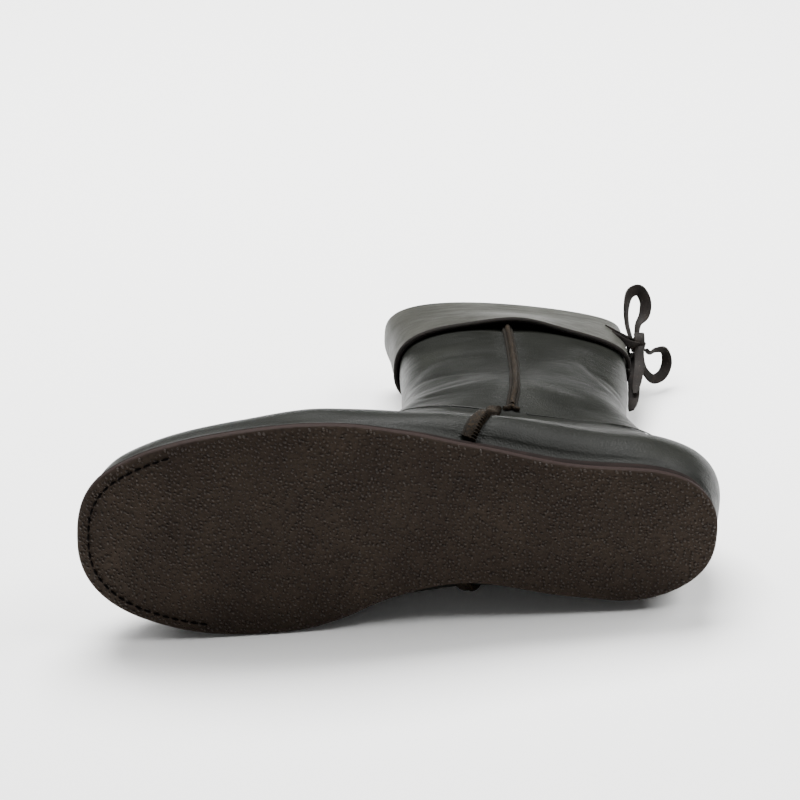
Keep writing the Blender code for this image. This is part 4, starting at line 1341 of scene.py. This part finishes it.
def make_seam_lips(name, path):
    """Two dark lips of leather that the piping is caught between."""
    centre, side, out = seam_frames(path, 0.0)
    for sign, word in ((-1, "front"), (1, "back")):
        lip = swept(name + "_" + word + "_lip", centre + side * sign * LIP_ASIDE, side, out,
                    dome(LIP_WIDTH, LIP_RISE, 7))
        dress(lip, TRIM_SUEDE, "seam_suede")


def make_side_seam(name, path, node):
    """Bound seam that stands off the quarter, with a stitched face towards the heel."""
    centre, side, out = seam_frames(path, 0.0)
    rise = SIDE_SEAM_LOW * (SIDE_SEAM_RISE + SEAM_GAP)
    swell = np.interp(np.linspace(0, 1, len(path)), SIDE_SEAM_SHARES, SIDE_SEAM_WIDTHS)
    made = swept(name, centre, side, out, dome(SIDE_SEAM_WIDTH, rise, 11), swell)
    dress(made, PIPING_SUEDE, "seam_suede", node)
    heelwards = 1 if side[0, 0] < 0 else -1
    ribs = centre + side * (heelwards * 0.45 * SIDE_SEAM_WIDTH) + out * 0.7 * rise
    stitches(name + "_ribs", ribs, SEAM_STITCHES, PIPING_SUEDE, "seam_suede",
             RIB_STEP, RIB_LENGTH, RIB_THICKNESS)
    welt = centre - side * (heelwards * 0.66 * SIDE_SEAM_WIDTH)
    lip = swept(name + "_welt", welt, side, out, dome(WELT_WIDTH, 0.6 * rise, 9))
    dress(lip, TRIM_SUEDE, "seam_suede")


def cross_seam_paths():
    """Instep seam over the front and counter seam round the back, from fork to fork."""
    ridge = float(level_at(math.pi, INSTEP_SEAM_TOP * INSTEP_HEIGHT))
    t = np.linspace(-1, 1, 121)
    over = math.pi + (math.pi - FORK_PLACE[0] - CROSS_SEAM_START) * t
    bow = np.abs(t) ** INSTEP_SEAM_BOW
    instep = np.stack([over, FORK_PLACE[1] * bow + ridge * (1 - bow)], axis=1)
    t = np.linspace(-1, 1, 91)
    behind = (FORK_PLACE[0] - CROSS_SEAM_START) * t
    counter = np.stack([behind, np.full_like(t, FORK_PLACE[1])], axis=1)
    return instep, counter


def make_cross_seams():
    """The two trims from fork to fork, a little slimmer and lower than their solids."""
    for word, path in zip(("instep", "counter"), cross_seam_paths()):
        centre, side, out = seam_frames(path, 0.0)
        profile = dome(0.7 * CROSS_SEAM_WIDTH, 0.4 * CROSS_SEAM_RISE, 9)
        made = swept(word + "_trim", centre, side, out, profile)
        dress(made, UPPER_LEATHER, "seam_suede", word + "_seam")


# The forks: how much of the way to the cross seams they run, their steps, how far in level
# they bow down, and their width and rise
FORK_REACH = 0.55
FORK_STEPS = 14
FORK_BOW = 0.004
FORK_WIDTH = 2.2 * MM
FORK_RISE = 2.0 * MM


def make_forks():
    """Short branches that join the shaft piping to the cross seams."""
    instep, counter = cross_seam_paths()
    for mirror in (False, True):
        word = "medial" if mirror else "lateral"
        foot = SHAFT_SEAM[0]
        for end, branch in ((instep[0], "instep"), (counter[-1], "counter")):
            target = np.array([2 * math.pi - end[0], end[1]]) if end[0] > math.pi else end
            path = np.linspace(foot, foot + FORK_REACH * (target - foot), FORK_STEPS)
            path[:, 1] -= FORK_BOW * np.sin(np.linspace(0, math.pi, FORK_STEPS))
            if mirror:
                path = mirrored(path)
            centre, side, out = seam_frames(path, PIPING_LIFT)
            size = np.linspace(0.95, 0.8, FORK_STEPS)
            profile = dome(FORK_WIDTH, FORK_RISE, 9)
            made = swept(f"{word}_fork_{branch}", centre, side, out, profile, size)
            dress(made, PIPING_SUEDE, "seam_suede")


# Lace


def ribbon(name, points, wide, width, thickness, taper=None):
    """Flat lace along points in boot axes; wide gives the direction of its width at each."""
    tangent = unit(np.gradient(points, axis=0))
    wide = unit(wide - tangent * np.sum(wide * tangent, axis=1)[:, None])
    thin = np.cross(tangent, wide)
    return swept(name, points, wide, thin, oval(width / 2, thickness / 2, 16, 0.45), taper)


def rolled(points, rolls):
    """Directions of a lace's width that roll about its route."""
    tangent = unit(np.gradient(points, axis=0))
    flat = unit(np.cross(CAMERA_LOOK, tangent))
    edge = np.cross(tangent, flat)
    roll = np.radians(smooth_path(rolls, len(points)))
    return flat * np.cos(roll)[:, None] + edge * np.sin(roll)[:, None]


# Along each route: roll of the lace in degrees, where 0 shows its flat face in the photograph;
# its width as a share of the whole; and how far it hangs towards the toe, in millimetres
LACE_LAYS = {
    "lace_loop_upper": {
        "rolls": [66, 62, 58, 46, 12, 0, 8, 40, 62],
        "widths": [0.9, 0.9, 0.95, 1.1, 1.2, 1.25, 1.2, 0.8, 0.75],
        "leans": [0, -0.2, -0.3, 0.2, 1.0, 1.3, 1.0, 0.3, 0],
    },
    "lace_loop_lower": {
        "rolls": [60, 56, 40, 12, 0, 8, 30, 48, 55],
        "widths": [0.7, 0.7, 0.9, 1.1, 1.15, 1.1, 0.95, 0.9, 0.9],
        "leans": [0, 0, 0, 0.3, 0.6, 0.3, 0, 0, 0],
    },
    "lace_end_1": {
        "rolls": [12, 4, 10, 20],
        "widths": [1.05, 1.05, 1.0, 0.5],
        "leans": [0.3, 0.3, 0.2, 0],
    },
    "lace_end_2": {
        "rolls": [10, 8, 8, 20, 40],
        "widths": [1.3, 1.3, 1.25, 1.1, 0.8],
        "leans": [1.2, 1.2, 1, 0.3, 0],
    },
}


# The cut tip of a free end: over how many steps it narrows, and to what share
TIP_STEPS = 6
TIP_SHARE = 0.72


def make_bow():
    """The two loops and the two ends."""
    for name, route in LACE_ROUTES.items():
        count = 4 * route["count"]
        points = lace_route(route, count)
        lay = LACE_LAYS[name]
        points[:, 0] += MM * smooth_path(lay["leans"], count)
        wide = rolled(points, lay["rolls"])
        taper = smooth_path(lay["widths"], count)
        if not route["returns"]:
            taper[-TIP_STEPS:] *= np.linspace(1.0, TIP_SHARE, TIP_STEPS)
        made = ribbon("bow_" + name[5:], points, wide, LACE_WIDTH, LACE_THICKNESS, taper)
        dress(made, LACE, "lace_leather", name)


# How far the band springs from the cuff at its middle, and how much it leans at its end
BAND_SPRING = 0.9 * MM
BAND_TWIST = 0.55


def make_band():
    """The flat stretch across the back of the cuff, turned a little where it nears the slit."""
    t = np.linspace(-1, 1, 60)
    height = COLLAR_HEIGHT - KNOT_DROP - (BAND_END_DROP - KNOT_DROP) * np.abs(t) ** BAND_BOW
    points = back_of_cuff(BAND_END_ANGLE * t, height)
    out = np.stack([-np.cos(0.9 * t), np.sin(0.9 * t), np.zeros(len(t))], axis=1)
    points = points + out * (BAND_SPRING * (1 - t**2))[:, None]
    wide = np.array([0, 0, 1.0]) - out * (BAND_TWIST * smooth_step(t, 0.0, 0.7))[:, None]
    made = ribbon("lace_round_the_cuff", points, wide, LACE_WIDTH, LACE_THICKNESS)
    return dress(made, LACE, "lace_leather", "lace_band")


# Knot: turns of lace round its core, the strap over it and the core itself
KNOT_TURNS = [
    # axis, radius, width in millimetres
    ((0.98, 0.20, 0.10), 3.7, 4.6),
    ((-0.35, 0.90, 0.30), 3.0, 4.2),
]
TURN_THICKNESS = 1.5 * MM
STRAP_REACH = 5.0 * MM
STRAP_DEPTH = 0.85
STRAP_ASIDE = 0.6 * MM
STRAP_WIDTH = 5.0 * MM
STRAP_THICKNESS = 1.4 * MM
STRAP_ARC = (110, -35)
STRAP_STEPS = 30
CORE_RADIUS = 2.9 * MM

# Routes on the cuff's surface from the slit's corner on the lateral side to behind the knot,
# each with the lace's visible width
SLIT_STRANDS = [
    ([(12.4, 10.4, 205.4), (10.4, 9.8, 202.8), (7.6, 8.6, 200.6), (4.0, 6.8, 199.6), (0.0, 4.6, 199.4),
      (-3.0, 3.0, 200.0)], 3.4 * MM),
    ([(10.2, 9.8, 198.8), (8.6, 9.2, 195.6), (6.2, 7.7, 194.4), (2.6, 5.4, 195.0), (-1.2, 3.4, 196.6),
      (-3.0, 2.4, 198.0)], 4.4 * MM),
]


STRAND_STEPS = 40
STRAND_THICKNESS = 1.2 * MM
# From the slit to the knot: millimetres off the cuff, and share of the full width
STRAND_LIFTS = (0.3, 1.7)
STRAND_WIDTHS = (0.4, 1.2)


def slit_strand(route, width, towards):
    """Lace that comes out of the slit and runs over the cuff's corner into the knot."""
    points = smooth_path(np.array(route) * MM, STRAND_STEPS)
    points = points + np.linspace(*STRAND_LIFTS, STRAND_STEPS)[:, None] * MM * towards
    taper = np.linspace(*STRAND_WIDTHS, STRAND_STEPS)
    return ribbon("slit_strand", points, rolled(points, [20, 20]), width, STRAND_THICKNESS, taper)


def make_knot():
    """Core of the knot, the lace drawn tight round it and the strands that come into it."""
    centre = knot_centre()
    turn = np.linspace(0, 2 * math.pi, 49)
    pieces = []
    for axis, radius, width in KNOT_TURNS:
        axis = unit(np.array(axis))
        first = unit(np.cross(axis, [0, 0.3, 1.0]))
        second = np.cross(axis, first)
        ring = centre + radius * MM * (np.cos(turn)[:, None] * first + np.sin(turn)[:, None] * second)
        ring = ring[:-1]
        wide = np.tile(axis, (len(ring), 1))
        pieces.append(ribbon("knot_turn", ring, wide, width * MM, TURN_THICKNESS))
    towards = -np.array(CAMERA_LOOK)
    right = np.cross(CAMERA_LOOK, CAMERA_UP)
    arc = np.radians(np.linspace(*STRAP_ARC, STRAP_STEPS))[:, None]
    bend = np.sin(arc) * np.array(CAMERA_UP) + STRAP_DEPTH * np.cos(arc) * towards
    strap = centre + STRAP_REACH * bend + STRAP_ASIDE * right
    wide = np.tile(right, (STRAP_STEPS, 1))
    pieces.append(ribbon("knot_strap", strap, wide, STRAP_WIDTH, STRAP_THICKNESS))
    for route, width in SLIT_STRANDS:
        pieces.append(slit_strand(route, width, towards))
    core = bmesh.new()
    bmesh.ops.create_uvsphere(core, u_segments=24, v_segments=16, radius=CORE_RADIUS,
                              matrix=Matrix.Translation(to_floor([centre])[0]))
    for piece in pieces:
        core.from_mesh(piece.data)
        bpy.data.objects.remove(piece, do_unlink=True)
    mesh = bpy.data.meshes.new("bow_knot")
    core.to_mesh(mesh)
    core.free()
    return dress(finish_mesh("bow_knot", mesh), LACE, "lace_leather", "lace_knot")


# Studio


FLOOR_REACH = 6.0
WORLD_STRENGTH = 0.12
SOFTBOXES = [
    # name, place, aim, size, watts
    ("overhead_softbox", (-0.10, 0.65, 1.40), (0, 0.05, 0.03), (1.2, 0.7), 90),
    ("toe_side_softbox", (-1.15, 0.15, 1.1), (0, 0.05, 0.03), (0.8, 0.8), 11),
    ("heel_side_softbox", (1.15, 0.15, 1.1), (0, 0.05, 0.03), (0.8, 0.8), 24),
    ("right_softbox", (0.55, -0.25, 0.80), (0, 0, 0.05), (0.22, 0.22), 2.5),
    ("front_softbox", (-0.35, -1.3, 0.5), (0, -0.3, 0.0), (1.3, 0.5), 1),
]


def make_floor():
    mesh = bpy.data.meshes.new("studio_floor")
    signs = ((-1, -1), (1, -1), (1, 1), (-1, 1))
    corners = [(x * FLOOR_REACH, y * FLOOR_REACH, 0) for x, y in signs]
    mesh.from_pydata(corners, [], [(0, 1, 2, 3)])
    floor = link_object("studio_floor", mesh)
    mesh.materials.append(studio_floor())


def add_softbox(name, place, aim, size, watts):
    light = bpy.data.lights.new(name, "AREA")
    light.shape = "RECTANGLE"
    light.size, light.size_y = size
    light.energy = watts
    lamp = link_object(name, light)
    lamp.location = place
    lamp.rotation_euler = (Vector(aim) - Vector(place)).to_track_quat("-Z", "Y").to_euler()


def make_studio():
    make_floor()
    world = bpy.data.worlds.new("pale_studio")
    world.use_nodes = True
    background = world.node_tree.nodes["Background"]
    background.inputs["Color"].default_value = (1.0, 1.0, 1.0, 1)
    background.inputs["Strength"].default_value = WORLD_STRENGTH
    bpy.context.scene.world = world
    for softbox in SOFTBOXES:
        add_softbox(*softbox)


def make_camera():
    look = TO_FLOOR[:3, :3] @ np.array(CAMERA_LOOK)
    up = TO_FLOOR[:3, :3] @ np.array(CAMERA_UP)
    right = np.cross(look, up)
    turn = np.stack([right, up, -look], axis=1)
    camera = bpy.data.cameras.new("photo_camera")
    camera.lens = CAMERA_LENS
    camera.sensor_width = CAMERA_SENSOR
    camera.clip_start = 0.01
    made = link_object("photo_camera", camera)
    matrix = Matrix(turn.tolist()).to_4x4()
    matrix.translation = to_floor([CAMERA_PLACE])[0]
    made.matrix_world = matrix
    bpy.context.scene.camera = made


def give_insole_its_finish():
    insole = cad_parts["insole"]
    insole.data.materials.clear()
    insole.data.materials.append(LINING)


make_camera()
make_studio()
make_bow()
make_knot()
make_band()
make_tread()
make_wedge()
make_pebbles()
make_toe_stitching()
make_upper()
make_cuff()
make_binding()
make_shaft_seam("lateral_piping", SHAFT_SEAM, "lateral_shaft_seam")
make_shaft_seam("medial_piping", mirrored(SHAFT_SEAM), "medial_shaft_seam")
make_seam_lips("lateral_piping", SHAFT_SEAM)
make_seam_lips("medial_piping", mirrored(SHAFT_SEAM))
make_side_seam("lateral_side_binding", BOUND_SEAM, "lateral_side_seam")
make_side_seam("medial_side_binding", mirrored(BOUND_SEAM), "medial_side_seam")
make_cross_seams()
make_forks()
give_insole_its_finish()
